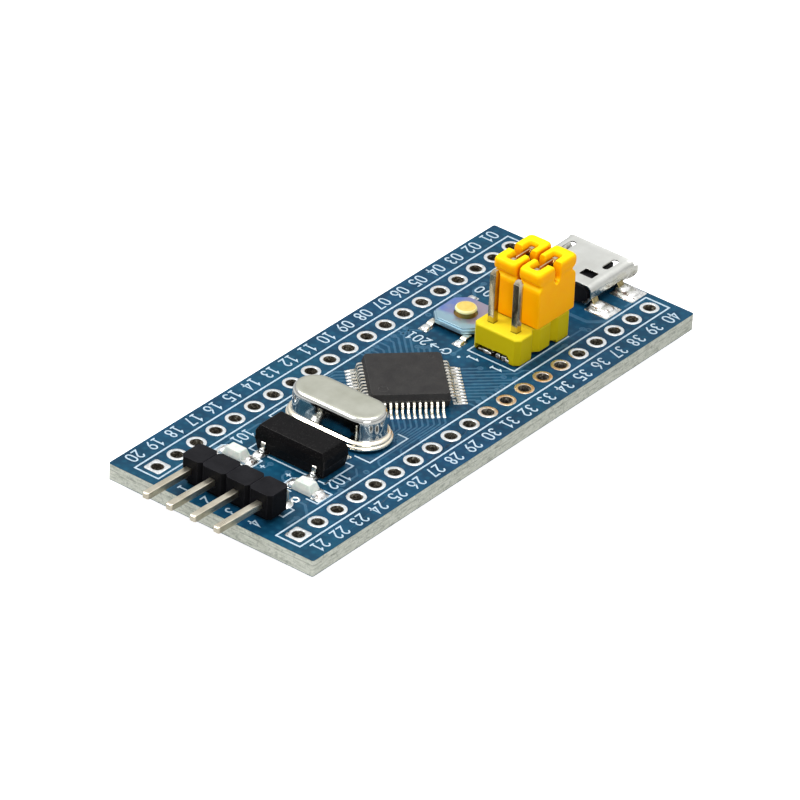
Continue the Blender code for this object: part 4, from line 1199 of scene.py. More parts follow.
def traces_top():
    """Copper on the top face; gives back the trace ends that carry vias."""
    part = Part()
    vias = []

    def run(*path, width=0.2, via=True):
        trace(part, path, width)
        if via:
            vias.append(path[-1])

    # +X +Y side: 45 degrees out, then across towards the +X row
    for k, row in enumerate((1.27, 2.05, 2.85, 3.81, 4.6, 5.35, 6.35, 7.1)):
        x, y = lead_place(45, k)
        via = k not in (0, 3, 6)
        run((x, y), (x + (row - y), row), (6.05 if via else ROW_PAD_EDGE, row), via=via)
    x, y = lead_place(45, 8)
    run((x, y), (x + 2.6, y + 2.6))
    x, y = lead_place(45, 9)
    run((x, y), (5.72, y + 5.72 - x), (5.72, 8.5), (6.11, 8.89), (ROW_PAD_EDGE, 8.89), via=False)
    x, y = lead_place(45, 10)
    run((x, y), (5.42, y + 5.42 - x), (5.42, 17.4))
    x, y = lead_place(45, 11)
    run((x, y), (x + 1.3, y + 1.3))
    # +X -Y side: out to parallel columns, the last three on to the row
    # lead: (column's end, bend x, row y)
    to_row = {9: (-11.0, 6.0, -11.43), 10: (-8.3, 6.3, -8.89), 11: (-6.0, 6.4, -6.35)}
    for k in range(LEADS_PER_SIDE):
        x, y = lead_place(-45, k)
        column = 6.08 - (11 - k) * 0.29
        path = [(x, y), (column, y - (column - x))]
        if k in to_row:
            end, bend, row = to_row[k]
            path += [(column, end), (bend, row), (ROW_PAD_EDGE, row)]
        else:
            path.append((column, -7.0 - 0.35 * (k % 3)))
        run(*path, width=0.18, via=k not in to_row)
    # -X +Y side: three short stubs, then across towards the -X row
    for k, reach in enumerate((1.05, 1.0, 1.1)):
        x, y = lead_place(135, k)
        run((x, y), (x - reach, y + reach))
    for k, row in enumerate((7.1, 6.35, 5.45, 4.65, 3.81, 3.05, 2.4, 1.85, 1.27), 3):
        x, y = lead_place(135, k)
        via = k not in (4, 7, 11)
        run((x, y), (x - (row - y), row), (-6.0 if via else -ROW_PAD_EDGE, row), via=via)
    # -X -Y side: the first three reach the row
    for k in range(LEADS_PER_SIDE):
        x, y = lead_place(225, k)
        column = -6.08 + k * 0.29
        path = [(x, y), (column, y - (x - column))]
        if k < 3:
            row = (-3.81, -6.35, -8.89)[k]
            path += [(column, row + 0.4), (-6.3, row), (-ROW_PAD_EDGE, row)]
        else:
            path.append((column, -6.3 - 0.3 * (k % 3)))
        run(*path, width=0.18, via=k >= 3)
    # behind the USB socket
    for dx in (-0.13, 0.33):
        run((0.45 + dx, 19.6), (0.45 + dx, 18.4), (-0.35 + dx, 17.6), (-0.35 + dx, 17.0))
    run((1.75, 19.5), (1.75, 18.6), (5.0, 18.6), (6.1, 19.7), (6.1, 21.2), (6.6, 21.59),
        (ROW_PAD_EDGE, 21.59), width=0.45, via=False)
    run((-0.85, 19.5), (-0.85, 18.7), (-5.1, 18.7), (-6.0, 19.05), (-ROW_PAD_EDGE, 19.05),
        width=0.3, via=False)
    # round the reset button
    run((-1.0, 7.9), (-0.35, 7.9), (-0.35, 6.6))
    run((-4.7, 7.7), (-5.6, 7.2), (-5.6, 6.3))
    run((-4.7, 15.2), (-5.5, 16.0), (-5.5, 17.5), width=0.3)
    # LEDs
    status, power = LEDS
    run((status.x0 - 0.3, status.y), (-5.7, -18.1), (-5.7, -16.6), (-6.3, -16.51),
        (-ROW_PAD_EDGE, -16.51), via=False)
    run((status.x1 + 0.2, status.y), (-1.3, -18.6), (-0.9, -18.2), (-0.9, -17.4))
    run((power.x0 - 0.2, power.y), (1.4, -18.6), (1.0, -18.2), (1.0, -17.4))
    run((power.x1 + 0.3, power.y), (6.05, -18.4), (6.05, -16.6))
    # debug header
    for pin, end in zip(DEBUG, (-3.0, -0.6, 0.6, 2.6)):
        y = DEBUG_HOLE_Y + 0.95
        run((pin.x, DEBUG_HOLE_Y + 0.7), (pin.x, y), (end, y + abs(end - pin.x) * 0.6))
    run((3.9, -20.3), (5.2, -20.3), (6.0, -21.1), (6.5, -21.59), (ROW_PAD_EDGE, -21.59),
        width=0.25, via=False)
    # clock crystal
    run((-5.0, -12.6), (-5.6, -13.2), (-5.6, -15.6))
    run((4.9, -13.2), (5.6, -13.9), (5.6, -15.9))
    for s in (-1, 1):
        for y in (-23.4, -19.6, 13.1, 22.9):
            run((s * 5.95, y), (s * 5.95, y + 1.1), width=0.25)
    part.finish("copper_traces_top", "trace", smooth=None, merge=False)
    return vias


def tented_vias(name, places, profile):
    part = Part()
    for x, y in places:
        part.revolve(x, y, profile, 14)
    part.finish(name, "trace", smooth=50, merge=False)


def open_via():
    """The one via left open in the mask, beside the debug header."""
    part = Part()
    part.revolve(4.12, -20.25, raised([(0.42, 0.0), (0.40, 0.045), (0.30, 0.06), (0.22, 0.02),
                                       (0.19, -0.3), (0.0, -0.32)]), 20)
    part.finish("open_via", "pads", smooth=60)


def traces_under():
    """Copper on the underside; gives back the trace ends."""
    part = Part()
    ends = []

    def run(*path, width=0.2, radius=0.4):
        trace(part, path, width, radius, 0.0, -0.012)
        ends.append(path[-1])

    # start row counted in from the row's end, outermost column, last drop
    for s, first, column, drop in ((-1, 5, 5.6, 4.5), (1, 4, 5.8, 4.0)):
        for k in range(9):
            y = -s * (9.5 * PITCH - PITCH * (k + first))
            x = s * (column - 0.45 * k)
            run((s * (ROW_X - 0.85), y), (s * (6.3 - 0.25 * (k % 3)), y),
                (x, y + s * 1.1), (x, y + s * drop))
    for s in (-1, 1):
        x = REGULATOR.x + s * 3.2
        run((REGULATOR.x + s * 1.4, REGULATOR.y), (x, REGULATOR.y + 1.2),
            (x, REGULATOR.y + 3.4), width=0.6, radius=0.5)
    part.finish("copper_traces_under", "trace", smooth=None, merge=False)
    return ends


def copper():
    top = traces_top()
    loose = [(-5.9, 14.4), (-5.9, 10.2), (5.9, 17.6), (-5.85, -10.6), (5.85, -13.0),
             (-2.2, 17.9), (3.3, 17.7), (0.0, -20.2), (-2.4, -20.4)]
    tented_vias("tented_vias_top", top + loose, raised(
        [(0.3, 0.0), (0.28, 0.018), (0.17, 0.024), (0.12, -0.008), (0.0, -0.018)]))
    open_via()
    under = traces_under()
    tented_vias("tented_vias_under", under + top[::2],
                [(0.3, 0.0), (0.28, -0.018), (0.17, -0.024), (0.12, 0.01), (0.0, 0.02)])


# -------------------------------------------------------------- microcontroller
MCU_TOP = MCU.z1 - 0.07
MCU_MID = (MCU_TOP + MCU.z0) / 2
MCU_SIDE = 7.0
MCU_HEADINGS = (45, 135, 225, 315)


def mcu_outline(size, z, chamfer):
    """A square with cut corners, turned 45 degrees on the board."""
    h = size / 2
    points = []
    for sx, sy in ((1, -1), (1, 1), (-1, 1), (-1, -1)):
        a = (sx * (h - chamfer), sy * h)
        b = (sx * h, sy * (h - chamfer))
        middle = ((a[0] + b[0]) / 2 * 1.012, (a[1] + b[1]) / 2 * 1.012)
        corner = [a, middle, b] if sx * sy < 0 else [b, middle, a]
        points += [(MCU.x + px, MCU.y + py, z) for px, py in corner]
    return turned(points, MCU.x, MCU.y, math.radians(45))


def microcontroller():
    part = Part()
    part.loft([mcu_outline(*station) for station in (  # size, z, chamfer
        (6.62, MCU.z0, 0.26), (6.72, MCU.z0 + 0.04, 0.28), (MCU_SIDE, MCU_MID - 0.07, 0.3),
        (MCU_SIDE, MCU_MID - 0.03, 0.3), (MCU_SIDE + 0.05, MCU_MID, 0.3),
        (MCU_SIDE, MCU_MID + 0.03, 0.3), (MCU_SIDE, MCU_MID + 0.07, 0.3),
        (6.68, MCU_TOP - 0.05, 0.28), (6.63, MCU_TOP - 0.015, 0.27), (6.54, MCU_TOP, 0.26))])
    package = part.finish("microcontroller_package", "epoxy", smooth=25,
                          replaces=("mcu_package",))
    # two round dimples in the top, at the -Y and +Y corners
    dimples = Part()
    dimples.revolve(MCU.x + 0.12, MCU.y - 3.3, raised(
        [(0.0, 0.2), (0.42, 0.2), (0.40, -0.035), (0.34, -0.05), (0.0, -0.05)], MCU_TOP))
    dimples.revolve(MCU.x - 0.1, MCU.y + 3.5, raised(
        [(0.0, 0.2), (0.24, 0.2), (0.23, -0.03), (0.0, -0.035)], MCU_TOP), 24)
    subtract(package, dimples)
    shade(package, 25)

    leads = Part()
    path = raised([(3.45, 0.0), (3.74, 0.0), (3.83, -0.02), (3.9, -0.08), (3.945, -0.17)], MCU_MID)
    path += raised([(4.02, 0.33), (4.06, 0.22), (4.12, 0.14), (4.2, 0.105), (4.55, 0.1)])
    for side in MCU_HEADINGS:
        for k in range(LEADS_PER_SIDE):
            leads.sweep(path, 0.225, 0.13, lead_place(side, k, 0.0), heading(side), ease=0.025)
    leads.finish("microcontroller_leads", "lead", smooth=40, replaces=("mcu_lead_frame",))

    solder = Part()
    for side in MCU_HEADINGS:
        for k in range(LEADS_PER_SIDE):
            x, y = lead_place(side, k, 4.42)
            dx, dy = heading(side)
            a = math.radians(side)
            px, py = x - dx * 0.05, y - dy * 0.05
            solder.loft([turned(rounded_rect(px, py, 1.25 - e, 0.30 - e, z, 0.05, 2), px, py, a)
                         for e, z in ((0.0, TOP), (0.0, TOP + 0.03), (0.03, TOP + 0.04))])
            solder.blob(x + dx * 0.22, y + dy * 0.22, 0.56, 0.29, 0.10, TOP + 0.03,
                        seed=k + side, count=12, lobes=0.03, angle=a, peak=(-0.12, 0))
    solder.finish("microcontroller_solder", "solder_fine", smooth=60, merge=False)


# --------------------------------------------------------------------- crystals
CAN_WIDTH, CAN_DEPTH = 9.28, 3.98
# outward offset and height: the foot from the can's base, the dome from its top
CAN_FOOT = [
    (0.40, 0.02), (0.49, 0.05), (0.535, 0.12), (0.54, 0.22), (0.515, 0.31), (0.46, 0.36),
    (0.395, 0.375), (0.365, 0.395), (0.37, 0.43), (0.385, 0.50), (0.37, 0.58), (0.32, 0.645),
    (0.24, 0.68), (0.15, 0.70), (0.08, 0.74), (0.04, 0.80), (0.015, 0.9), (0.0, 1.3)]
CAN_DOME = [
    (0.0, -0.62), (-0.005, -0.5), (-0.03, -0.36), (-0.08, -0.23), (-0.16, -0.12),
    (-0.27, -0.045), (-0.40, -0.01), (-0.56, 0.0), (-0.8, -0.004), (-1.2, -0.012)]


def main_crystal():
    part = Part()
    profile = raised(CAN_FOOT, CAN.z0) + raised(CAN_DOME, CAN.z1 + 0.1)
    part.loft([stadium(CAN.x, CAN.y, CAN_WIDTH + 2 * o, CAN_DEPTH + 2 * o, z, 40)
               for o, z in profile])
    part.finish("crystal_can", "can", smooth=50, replaces=("hc49_can",))


def clock_crystal():
    x, y, top = CLOCK.x, CLOCK.y, CLOCK.z1
    part = Part()
    part.stack(x, y, (
        (7.0, 2.95, TOP + 0.06, 0.1), (7.12, 3.06, TOP + 0.10, 0.12),
        (7.52, 3.30, TOP + 1.06, 0.14), (7.58, 3.34, TOP + 1.10, 0.14),
        (7.58, 3.34, TOP + 1.16, 0.14), (7.54, 3.31, TOP + 1.2, 0.14),
        (7.5, 3.27, TOP + 1.85, 0.14), (7.44, 3.22, TOP + 1.95, 0.14),
        (6.86, 2.82, top - 0.05, 0.1), (6.74, 2.72, top - 0.012, 0.08),
        (6.64, 2.64, top, 0.06)), steps=3)
    package = part.finish("clock_crystal_package", "epoxy_black", smooth=30,
                          replaces=("clock_crystal_body",))
    nodes = numbered("clock_crystal_lead", 4)
    places = [(b.x, 1 if b.y > y else -1) for b in map(Box, nodes)]
    notches = Part()
    for px, s in places:
        near, far = sorted((y + s * 1.42, y + s * 2.2))
        notches.block(px - 0.31, px + 0.31, near, far, TOP - 0.5, TOP + 1.12)
    subtract(package, notches)
    shade(package, 28)

    leads, solder = Part(), Part()
    path = raised([(1.1, 1.04), (1.52, 1.04), (1.6, 1.03), (1.66, 0.98), (1.69, 0.9),
                   (1.72, 0.4), (1.76, 0.26), (1.85, 0.15), (2.0, 0.11), (2.5, 0.11)])
    for n, (px, s) in enumerate(places):
        leads.sweep(path, 0.44, 0.15, (px, y), (0, s), ease=0.03)
        solder.slab(px, y + s * 2.12, 0.95, 1.5, TOP, TOP + 0.04, 0.08, 2)
        solder.blob(px, y + s * 2.18, 0.98, 1.36, 0.34, TOP + 0.035, seed=n + 40,
                    count=24, lobes=0.12, peak=(0.0, -s * 0.3))
        solder.blob(px + 0.02, y + s * 1.86, 0.64, 0.46, 0.58, TOP + 0.035, seed=n + 47,
                    count=16, lobes=0.08)
    leads.finish("clock_crystal_leads", "tin", smooth=40, replaces=nodes)
    solder.finish("clock_crystal_solder", "solder", smooth=70, merge=False)


# ------------------------------------------------------------------------- LEDs
def led(name, box, seed):
    x, y = box.x, box.y
    part = Part()
    part.block(x - 1.12, x + 1.12, y - 0.62, y + 0.62, TOP + 0.05, TOP + 0.34, 0.04, 2)
    part.finish("%s_led_substrate" % name, "ceramic", smooth=30,
                replaces=("%s_led_base" % name,))
    part = Part()
    part.stack(x, y, ((2.04, 1.24, 0.3, 0.06), (2.02, 1.22, 0.44, 0.07), (1.96, 1.18, 0.5, 0.08),
                      (1.56, 1.06, 0.9, 0.10), (1.48, 1.0, 0.96, 0.10),
                      (1.34, 0.88, 0.985, 0.10)), steps=4, base=TOP)
    part.finish("%s_led_dome" % name, "lens", smooth=32, replaces=("%s_led_lens" % name,))
    part = Part()
    for s in (-1, 1):
        end = x + s * 1.25
        part.block(end - 0.22, end + 0.22, y - 0.64, y + 0.64, TOP + 0.03, TOP + 0.36, 0.05, 2)
        part.slab(x + s * 1.5, y, 0.98, 1.42, TOP, TOP + 0.035, 0.08, 2)
        part.blob(x + s * 1.46, y, 0.92, 1.34, 0.30, TOP + 0.03, seed=seed + s,
                  count=22, lobes=0.25, peak=(-s * 0.16, 0.05))
        part.blob(x + s * 1.28, y + 0.16 * s, 0.5, 0.9, 0.44, TOP + 0.03, seed=seed + 2 * s,
                  count=18, lobes=0.3)
    part.finish("%s_led_solder" % name, "solder_flux", smooth=70, merge=False)


# ----------------------------------------------------------------- reset button
def octagon(width, depth, z, chamfer):
    """An octagon outline over the button, with eased corners."""
    hx, hy, c = width / 2, depth / 2, chamfer
    corners = [Vector(p) for p in (
        (-hx + c, -hy), (hx - c, -hy), (hx, -hy + c), (hx, hy - c),
        (hx - c, hy), (-hx + c, hy), (-hx, hy - c), (-hx, -hy + c))]
    points = []
    for i, corner in enumerate(corners):
        a = corner + (corners[i - 1] - corner).normalized() * 0.06
        b = corner + (corners[(i + 1) % 8] - corner).normalized() * 0.06
        middle = (a + b) / 4 + corner / 2
        points += [(SWITCH.x + v.x, SWITCH.y + v.y, z) for v in (a, middle, b)]
    return points


def button_shell():
    part = Part()
    part.loft([octagon(size, size, TOP + h, 0.95)
               for size, h in ((4.50, 0.04), (4.62, 0.1), (4.62, 0.62), (4.56, 0.70))])
    part.finish("button_base", "base_black", smooth=25, replaces=("reset_base",))

    part = Part()
    top = COVER.z1
    outlines = [octagon(*station) for station in (  # width, depth, z, chamfer
        (4.70, 4.90, TOP + 0.40, 0.94), (4.76, 4.92, top - 0.26, 0.95),
        (4.74, 4.84, top - 0.15, 0.95), (4.62, 4.56, top - 0.13, 0.94),
        (4.60, 4.53, top - 0.03, 0.94), (4.56, 4.48, top, 0.93), (3.0, 3.0, top, 0.7))]
    # the hole has as many points as an octagon, turned to line up with it
    outlines += [circle(SWITCH.x, SWITCH.y, 1.07, z, 24, math.pi * (1 / 24 - 0.72))
                 for z in (top, top - 0.1)]
    part.loft(outlines, caps=False)
    part.finish("button_cover", "cover", smooth=28, replaces=("reset_cover",))


def button_legs():
    path = raised([(1.9, 0.3), (2.42, 0.3), (2.56, 0.27), (2.66, 0.2), (2.76, 0.13),
                   (2.9, 0.1), (3.3, 0.1)])
    for s, side in ((-1, "front"), (1, "back")):
        part = Part()
        for q in (-1, 1):
            part.sweep(path, 0.62, 0.11, (SWITCH.x + q * 1.85, SWITCH.y), (0, s), ease=0.03)
        part.finish("button_legs_" + side, "lead", smooth=40,
                    replaces=("reset_contact_" + side,))
    part = Part()
    for s in (-1, 1):
        for q in (-1, 1):
            x, y = SWITCH.x + q * 1.85, SWITCH.y + s * 3.18
            part.slab(x, y, 0.92, 1.15, TOP, TOP + 0.035, 0.08, 2)
            part.blob(x, y + s * 0.1, 0.8, 0.95, 0.24, TOP + 0.03, seed=q + 3 * s + 60,
                      count=18, lobes=0.25, peak=(0.0, -s * 0.15))
    part.finish("button_solder", "solder", smooth=70, merge=False)


def button_plunger():
    part = Part()
    r = 0.975
    base, top = PLUNGER.z0, PLUNGER.z1 + 0.08
    part.revolve(SWITCH.x, SWITCH.y, [
        (0.0, base), (1.2, base), (1.22, base + 0.04), (1.2, base + 0.085),
        (r - 0.10, base + 0.09), (r - 0.13, base + 0.13), (r - 0.14, top - 0.34),
        (r - 0.10, top - 0.31), (r - 0.03, top - 0.295), (r, top - 0.26), (r, top - 0.20),
        (r - 0.03, top - 0.12), (r - 0.09, top - 0.045), (r - 0.16, top - 0.012),
        (r - 0.24, top), (0.0, top - 0.008)], 64)
    part.finish("button_plunger", "cream", body="reset_button", smooth=40,
                replaces=("reset_plunger",))


# ------------------------------------------------------------------ boot header
def header_outline(inset):
    """The block from above: cut corners, and notches between pins on both long sides."""
    chamfer, notch, notch_half = 0.42, 0.42, 0.56
    x0, x1 = HEADER.x0 + inset, HEADER.x1 - inset
    y0, y1 = HEADER.y0 + inset, HEADER.y1 - inset
    right = [(x1, y0 + chamfer)]
    for a, b in ((0, 1), (1, 2)):
        y = (BOOT[a].y + BOOT[b].y) / 2
        right += [(x1, y - notch_half), (x1 - notch, y - 0.05), (x1 - notch, y + 0.05),
                  (x1, y + notch_half)]
    right.append((x1, y1 - chamfer))
    left = [(x0 + x1 - x, y) for x, y in reversed(right)]
    return ([(x0 + chamfer, y0), (x1 - chamfer, y0)] + right
            + [(x1 - chamfer, y1), (x0 + chamfer, y1)] + left)


def boot_header():
    x0, x1, y0, y1, top = HEADER.x0, HEADER.x1, HEADER.y0, HEADER.y1, HEADER.z1
    part = Part()
    part.loft([[(x, y, z) for x, y in header_outline(i)] for i, z in (
        (0.06, TOP + 0.03), (0.0, TOP + 0.12), (0.0, top - 0.16), (0.05, top - 0.05),
        (0.16, top))])
    block = part.finish("boot_header_block", "yellow", smooth=30,
                        replaces=("boot_header_body",), merge=False)
    # arches through both ends and a low cut through the sides leave feet
    cutter = Part()
    start, end, roof = x0 + 0.34, x1 - 0.98, TOP + 0.74
    middle = start + 2.0
    arches = [
        (start, TOP - 0.5), (start, roof - 0.2), (start + 0.06, roof - 0.08),
        (start + 0.18, roof), (middle - 0.25, roof), (middle - 0.08, roof - 0.05),
        (middle, roof - 0.12), (middle + 0.08, roof - 0.03), (middle + 0.25, roof + 0.06),
        (end - 0.35, roof + 0.06), (end - 0.12, roof - 0.04), (end, roof - 0.24),
        (end, TOP - 0.5)]
    for ends in ((y0 - 0.5, y0 + 1.6), (y1 - 1.6, y1 + 0.5)):
        cutter.extrude(arches, ends, axis=1)
    cutter.block(x0 - 0.5, x1 + 0.5, y0 + 2.0, y1 - 2.0, TOP - 0.5, TOP + 0.3)
    cutter.block(x0 + 0.75, x1 - 0.75, y0 + 0.6, y1 - 0.6, TOP - 1, TOP + 0.6)
    subtract(block, cutter)
    voxel(block, 0.06, 5)
    holes = Part()
    for pin in BOOT:
        holes.block(pin.x - 0.35, pin.x + 0.35, pin.y - 0.35, pin.y + 0.35, TOP - 1, TOP + 4)
    subtract(block, holes)
    shade(block, 50)

    # a thin dark film on the board under the block: painted shade beneath the header
    part = Part()
    part.slab((x0 + x1) / 2 - 0.2, (y0 + y1) / 2 + 0.05, 4.1, y1 - y0 - 0.25,
              TOP, TOP + 0.012, 0.3, 4)
    part.finish("boot_header_shade_film", "flux", smooth=30)
    part = Part()
    for n, bead in enumerate((  # x, y, width, depth, height
            (0.86, 8.95, 0.62, 0.36, 0.10), (1.5, 9.0, 1.1, 0.6, 0.22),
            (2.75, 8.98, 0.5, 0.34, 0.30), (3.42, 8.98, 0.7, 0.5, 0.34),
            (3.95, 8.86, 0.6, 0.34, 0.14))):
        part.blob(*bead, TOP + 0.01, seed=n + 130, count=16, lobes=0.3)
    part.finish("boot_header_solder_beads", "solder_flux", smooth=70, merge=False)


PIN_WIDTH = 0.64


def boot_pins():
    """Square pins with eased edges and pointed, blunted tips."""
    taper, point, corner = 0.42, 0.34, 0.035
    for k, pin in enumerate(BOOT):
        z0, z1 = pin.z0, pin.z1
        stations = [(point * 0.6, z0), (point, z0 + 0.03), (PIN_WIDTH, z0 + taper),
                    (PIN_WIDTH, z1 - taper), (PIN_WIDTH - 0.06, z1 - taper + 0.06),
                    (point + 0.04, z1 - 0.04), (point * 0.6, z1)]
        part = Part()
        part.stack(pin.x, pin.y, [(w, w, z, corner * w / PIN_WIDTH) for w, z in stations], 2)
        part.finish("boot_header_pin_%d" % (k + 1), "pin", smooth=30,
                    replaces=("boot_pin_%d" % (k + 1),))


# ------------------------------------------------------------------ jumper caps
def jumper_shell(k, pin_x):
    """The cap: waisted below a wide head, slotted across, with two deep pin pockets."""
    box = Box("jumper_cap_%d" % k)
    x, y, z0, z1 = box.x, box.y, box.z0, box.z1
    width = 2.44
    lip = z1 - 1.25
    near, far = y - 2.48, y + 2.72
    part = Part()
    part.loft([rounded_rect(x, (a + b) / 2, width - narrower, b - a, z, r, 4)
               for z, narrower, a, b, r in (
        (z0, 0.10, near + 0.05, far - 0.05, 0.1),
        (z0 + 0.08, 0.0, near, far, 0.12),
        (lip - 0.72, 0.0, near, far, 0.14),
        (lip - 0.46, 0.02, near + 0.06, far - 0.08, 0.16),
        (lip - 0.20, 0.08, near + 0.30, far - 0.34, 0.2),
        (lip - 0.02, 0.10, near + 0.33, far - 0.38, 0.25),
        (lip + 0.12, 0.06, near + 0.12, far - 0.10, 0.34),
        (lip + 0.30, 0.0, near - 0.04, far + 0.14, 0.42),
        (lip + 0.60, 0.0, near - 0.08, far + 0.20, 0.46),
        (z1 - 0.40, 0.0, near - 0.08, far + 0.20, 0.46),
        (z1 - 0.18, 0.06, near - 0.02, far + 0.13, 0.44),
        (z1 - 0.05, 0.22, near + 0.10, far + 0.01, 0.40),
        (z1, 0.34, near + 0.18, far - 0.07, 0.36))])
    cap = part.finish("jumper_cap_shell_%d" % k, "orange", body="jumper_%d" % k, smooth=40,
                      replaces=("jumper_cap_%d" % k,), merge=False)

    pockets = Part()
    pocket_y, span = (BOOT[1].y + BOOT[2].y) / 2, BOOT[2].y - BOOT[1].y
    pockets.slab(pin_x, pocket_y, 1.06, span + 1.06, z0 - 1, z1 - 0.95, 0.1, 3)
    pockets.slab(pin_x, pocket_y, 0.74, span + 0.80, z1 - 1.1, z1 - 0.3, 0.1, 3)
    pockets.stack(pin_x, pocket_y, [
        (0.74 + e, span + 0.80 + e, z, 0.15 + e / 2) for e, z in (
            (-0.04, z1 - 0.55), (0.04, z1 - 0.38), (0.22, z1 - 0.14),
            (0.55, z1 + 0.1), (0.7, z1 + 0.3))], 4)
    subtract(cap, pockets)

    slot_z, slot_y, half = z1 - 1.75, y + 0.06, 0.40
    flare = [(half + 0.16, z1 + 1), (half + 0.06, z1 - 0.2), (half, z1 - 0.5),
             (half, slot_z + half)]
    profile = [(slot_y + w, z) for w, z in flare]
    profile += [(slot_y + half * math.cos(a), slot_z + half - half * math.sin(a))
                for a in [math.pi * t / 12 for t in range(1, 12)]]
    profile += [(slot_y - w, z) for w, z in reversed(flare)]
    slot = Part()
    slot.extrude(profile, (x - 3, x + 3), axis=0)
    subtract(cap, slot)
    voxel(cap, 0.055, 11)

    # an oval opening at the foot of the slot
    eye = Part()
    eye.extrude([(y + 0.27 * math.cos(t), slot_z + 0.16 + 0.33 * math.sin(t))
                 for t in [2 * math.pi * q / 20 for q in range(20)]], (x - 3, x + 3), axis=0)
    subtract(cap, eye)
    shade(cap, 60)
    return z1


def jumper(k, pin_x):
    cap_top = jumper_shell(k, pin_x)
    # the clip inside hooks round both pins; a thin web between them shows in the slot
    box = Box("jumper_clip_%d" % k)
    ya, yb = BOOT[1].y, BOOT[2].y
    inner = 0.35
    outer = inner + 0.13
    outline = [(outer, ya - outer), (outer, yb + outer), (-outer, yb + outer),
               (-outer, yb - 0.30), (-inner, yb - 0.30), (-inner, yb + inner),
               (inner, yb + inner), (inner, ya - inner), (-inner, ya - inner),
               (-inner, ya + 0.30), (-outer, ya + 0.30), (-outer, ya - outer)]
    part = Part()
    part.loft([[(pin_x + a, b, z) for a, b in outline] for z in (box.z0, cap_top - 1.05)])
    part.block(pin_x - 0.055, pin_x + 0.055, ya + 0.34, yb - 0.34, cap_top - 2.6, box.z1 - 0.04)
    clip = part.finish("jumper_spring_clip_%d" % k, "bronze", body="jumper_%d" % k, smooth=30,
                       replaces=("jumper_clip_%d" % k,), merge=False)
    bevel(clip, 0.025)


# ----------------------------------------------------------------- debug header
DEBUG_BLOCK = Box("debug_header_body")
DEBUG_MIDS = [(a.x + b.x) / 2 for a, b in zip(DEBUG[:-1], DEBUG[1:])]
DEBUG_AXIS_Z = DEBUG[0].z1 - 0.32


def debug_outline(inset):
    """Four joined cells seen from above, drawn in all round."""
    b, notch = DEBUG_BLOCK, 0.32
    x0, x1, y0, y1 = b.x0 + inset, b.x1 - inset, b.y0 + inset, b.y1 - inset
    front = [(x0, y0 + notch), (x0 + notch, y0)]
    for x in DEBUG_MIDS:
        front += [(x - notch, y0), (x - 0.03, y0 + notch), (x + 0.03, y0 + notch),
                  (x + notch, y0)]
    front += [(x1 - notch, y0), (x1, y0 + notch)]
    return front + [(x, y0 + y1 - y) for x, y in reversed(front)]


def debug_block():
    b = DEBUG_BLOCK
    part = Part()
    part.loft([[(x, y, z) for x, y in debug_outline(i)] for i, z in (
        (0.30, b.z0), (0.28, b.z0 + 0.2), (0.0, b.z0 + 0.42), (0.0, b.z1))])
    block = part.finish("debug_header_block", "black", smooth=30,
                        replaces=("debug_header_body",), merge=False)
    cutter = Part()
    ends = (b.y0 - 1, b.y1 + 1)
    for x in DEBUG_MIDS:
        cutter.extrude([(x - 0.09, b.z1 + 0.2), (x - 0.07, b.z1 - 0.02), (x, b.z1 - 0.07),
                        (x + 0.07, b.z1 - 0.02), (x + 0.09, b.z1 + 0.2)], ends, axis=1)
    for pin in DEBUG:
        hole = rounded_rect(pin.x, DEBUG_AXIS_Z, 0.72, 0.72, 0, 0.05, 2)
        cutter.extrude([(x, z) for x, z, _ in hole], ends, axis=1)
    subtract(block, cutter)
    bevel(block, 0.07, 3, 40)
    bake(block)
    shade(block, 35)


def pin_section(x, y, z, ny, nz, scale):
    """A square pin section at (y, z); (ny, nz) is the in-plane normal of its bend."""
    w = PIN_WIDTH * scale
    return [(x + a, y + b * ny, z + b * nz)
            for a, b, _ in rounded_rect(0, 0, w, w, 0, 0.07 * scale, 2)]


def debug_pins():
    """Right-angle pins: out over the -Y edge, then down through the board."""
    bend, axis_z, hole_y = 0.62, DEBUG_AXIS_Z, DEBUG_HOLE_Y
    for k, pin in enumerate(DEBUG):
        # the tip is shifted a little towards -X and up
        outlines = [pin_section(pin.x - 0.10, pin.y0 + dy, axis_z + 0.08, 0.0, 1.0, scale)
                    for dy, scale in ((-0.28, 0.45), (-0.26, 0.66), (-0.19, 0.84),
                                      (-0.08, 0.97), (0.02, 1.0))]
        outlines += [pin_section(pin.x, y, axis_z, 0.0, 1.0, 1.0)
                     for y in (DEBUG_BLOCK.y0 - 0.4, hole_y - bend)]
        for t in range(1, 9):
            a = math.radians(90 * t / 8)
            outlines.append(pin_section(
                pin.x, hole_y - bend + bend * math.sin(a), axis_z - bend + bend * math.cos(a),
                math.sin(a), math.cos(a), 1.0))
        outlines += [pin_section(pin.x, hole_y, z, 1.0, 0.0, scale) for z, scale in (
            (0.0, 1.0), (pin.z0 + 0.35, 1.0), (pin.z0 + 0.04, 0.5), (pin.z0, 0.3))]
        part = Part()
        part.loft(outlines)
        part.finish("debug_header_pin_%d" % (k + 1), "pin_debug", smooth=32,
                    replaces=("debug_pin_%d" % (k + 1),))


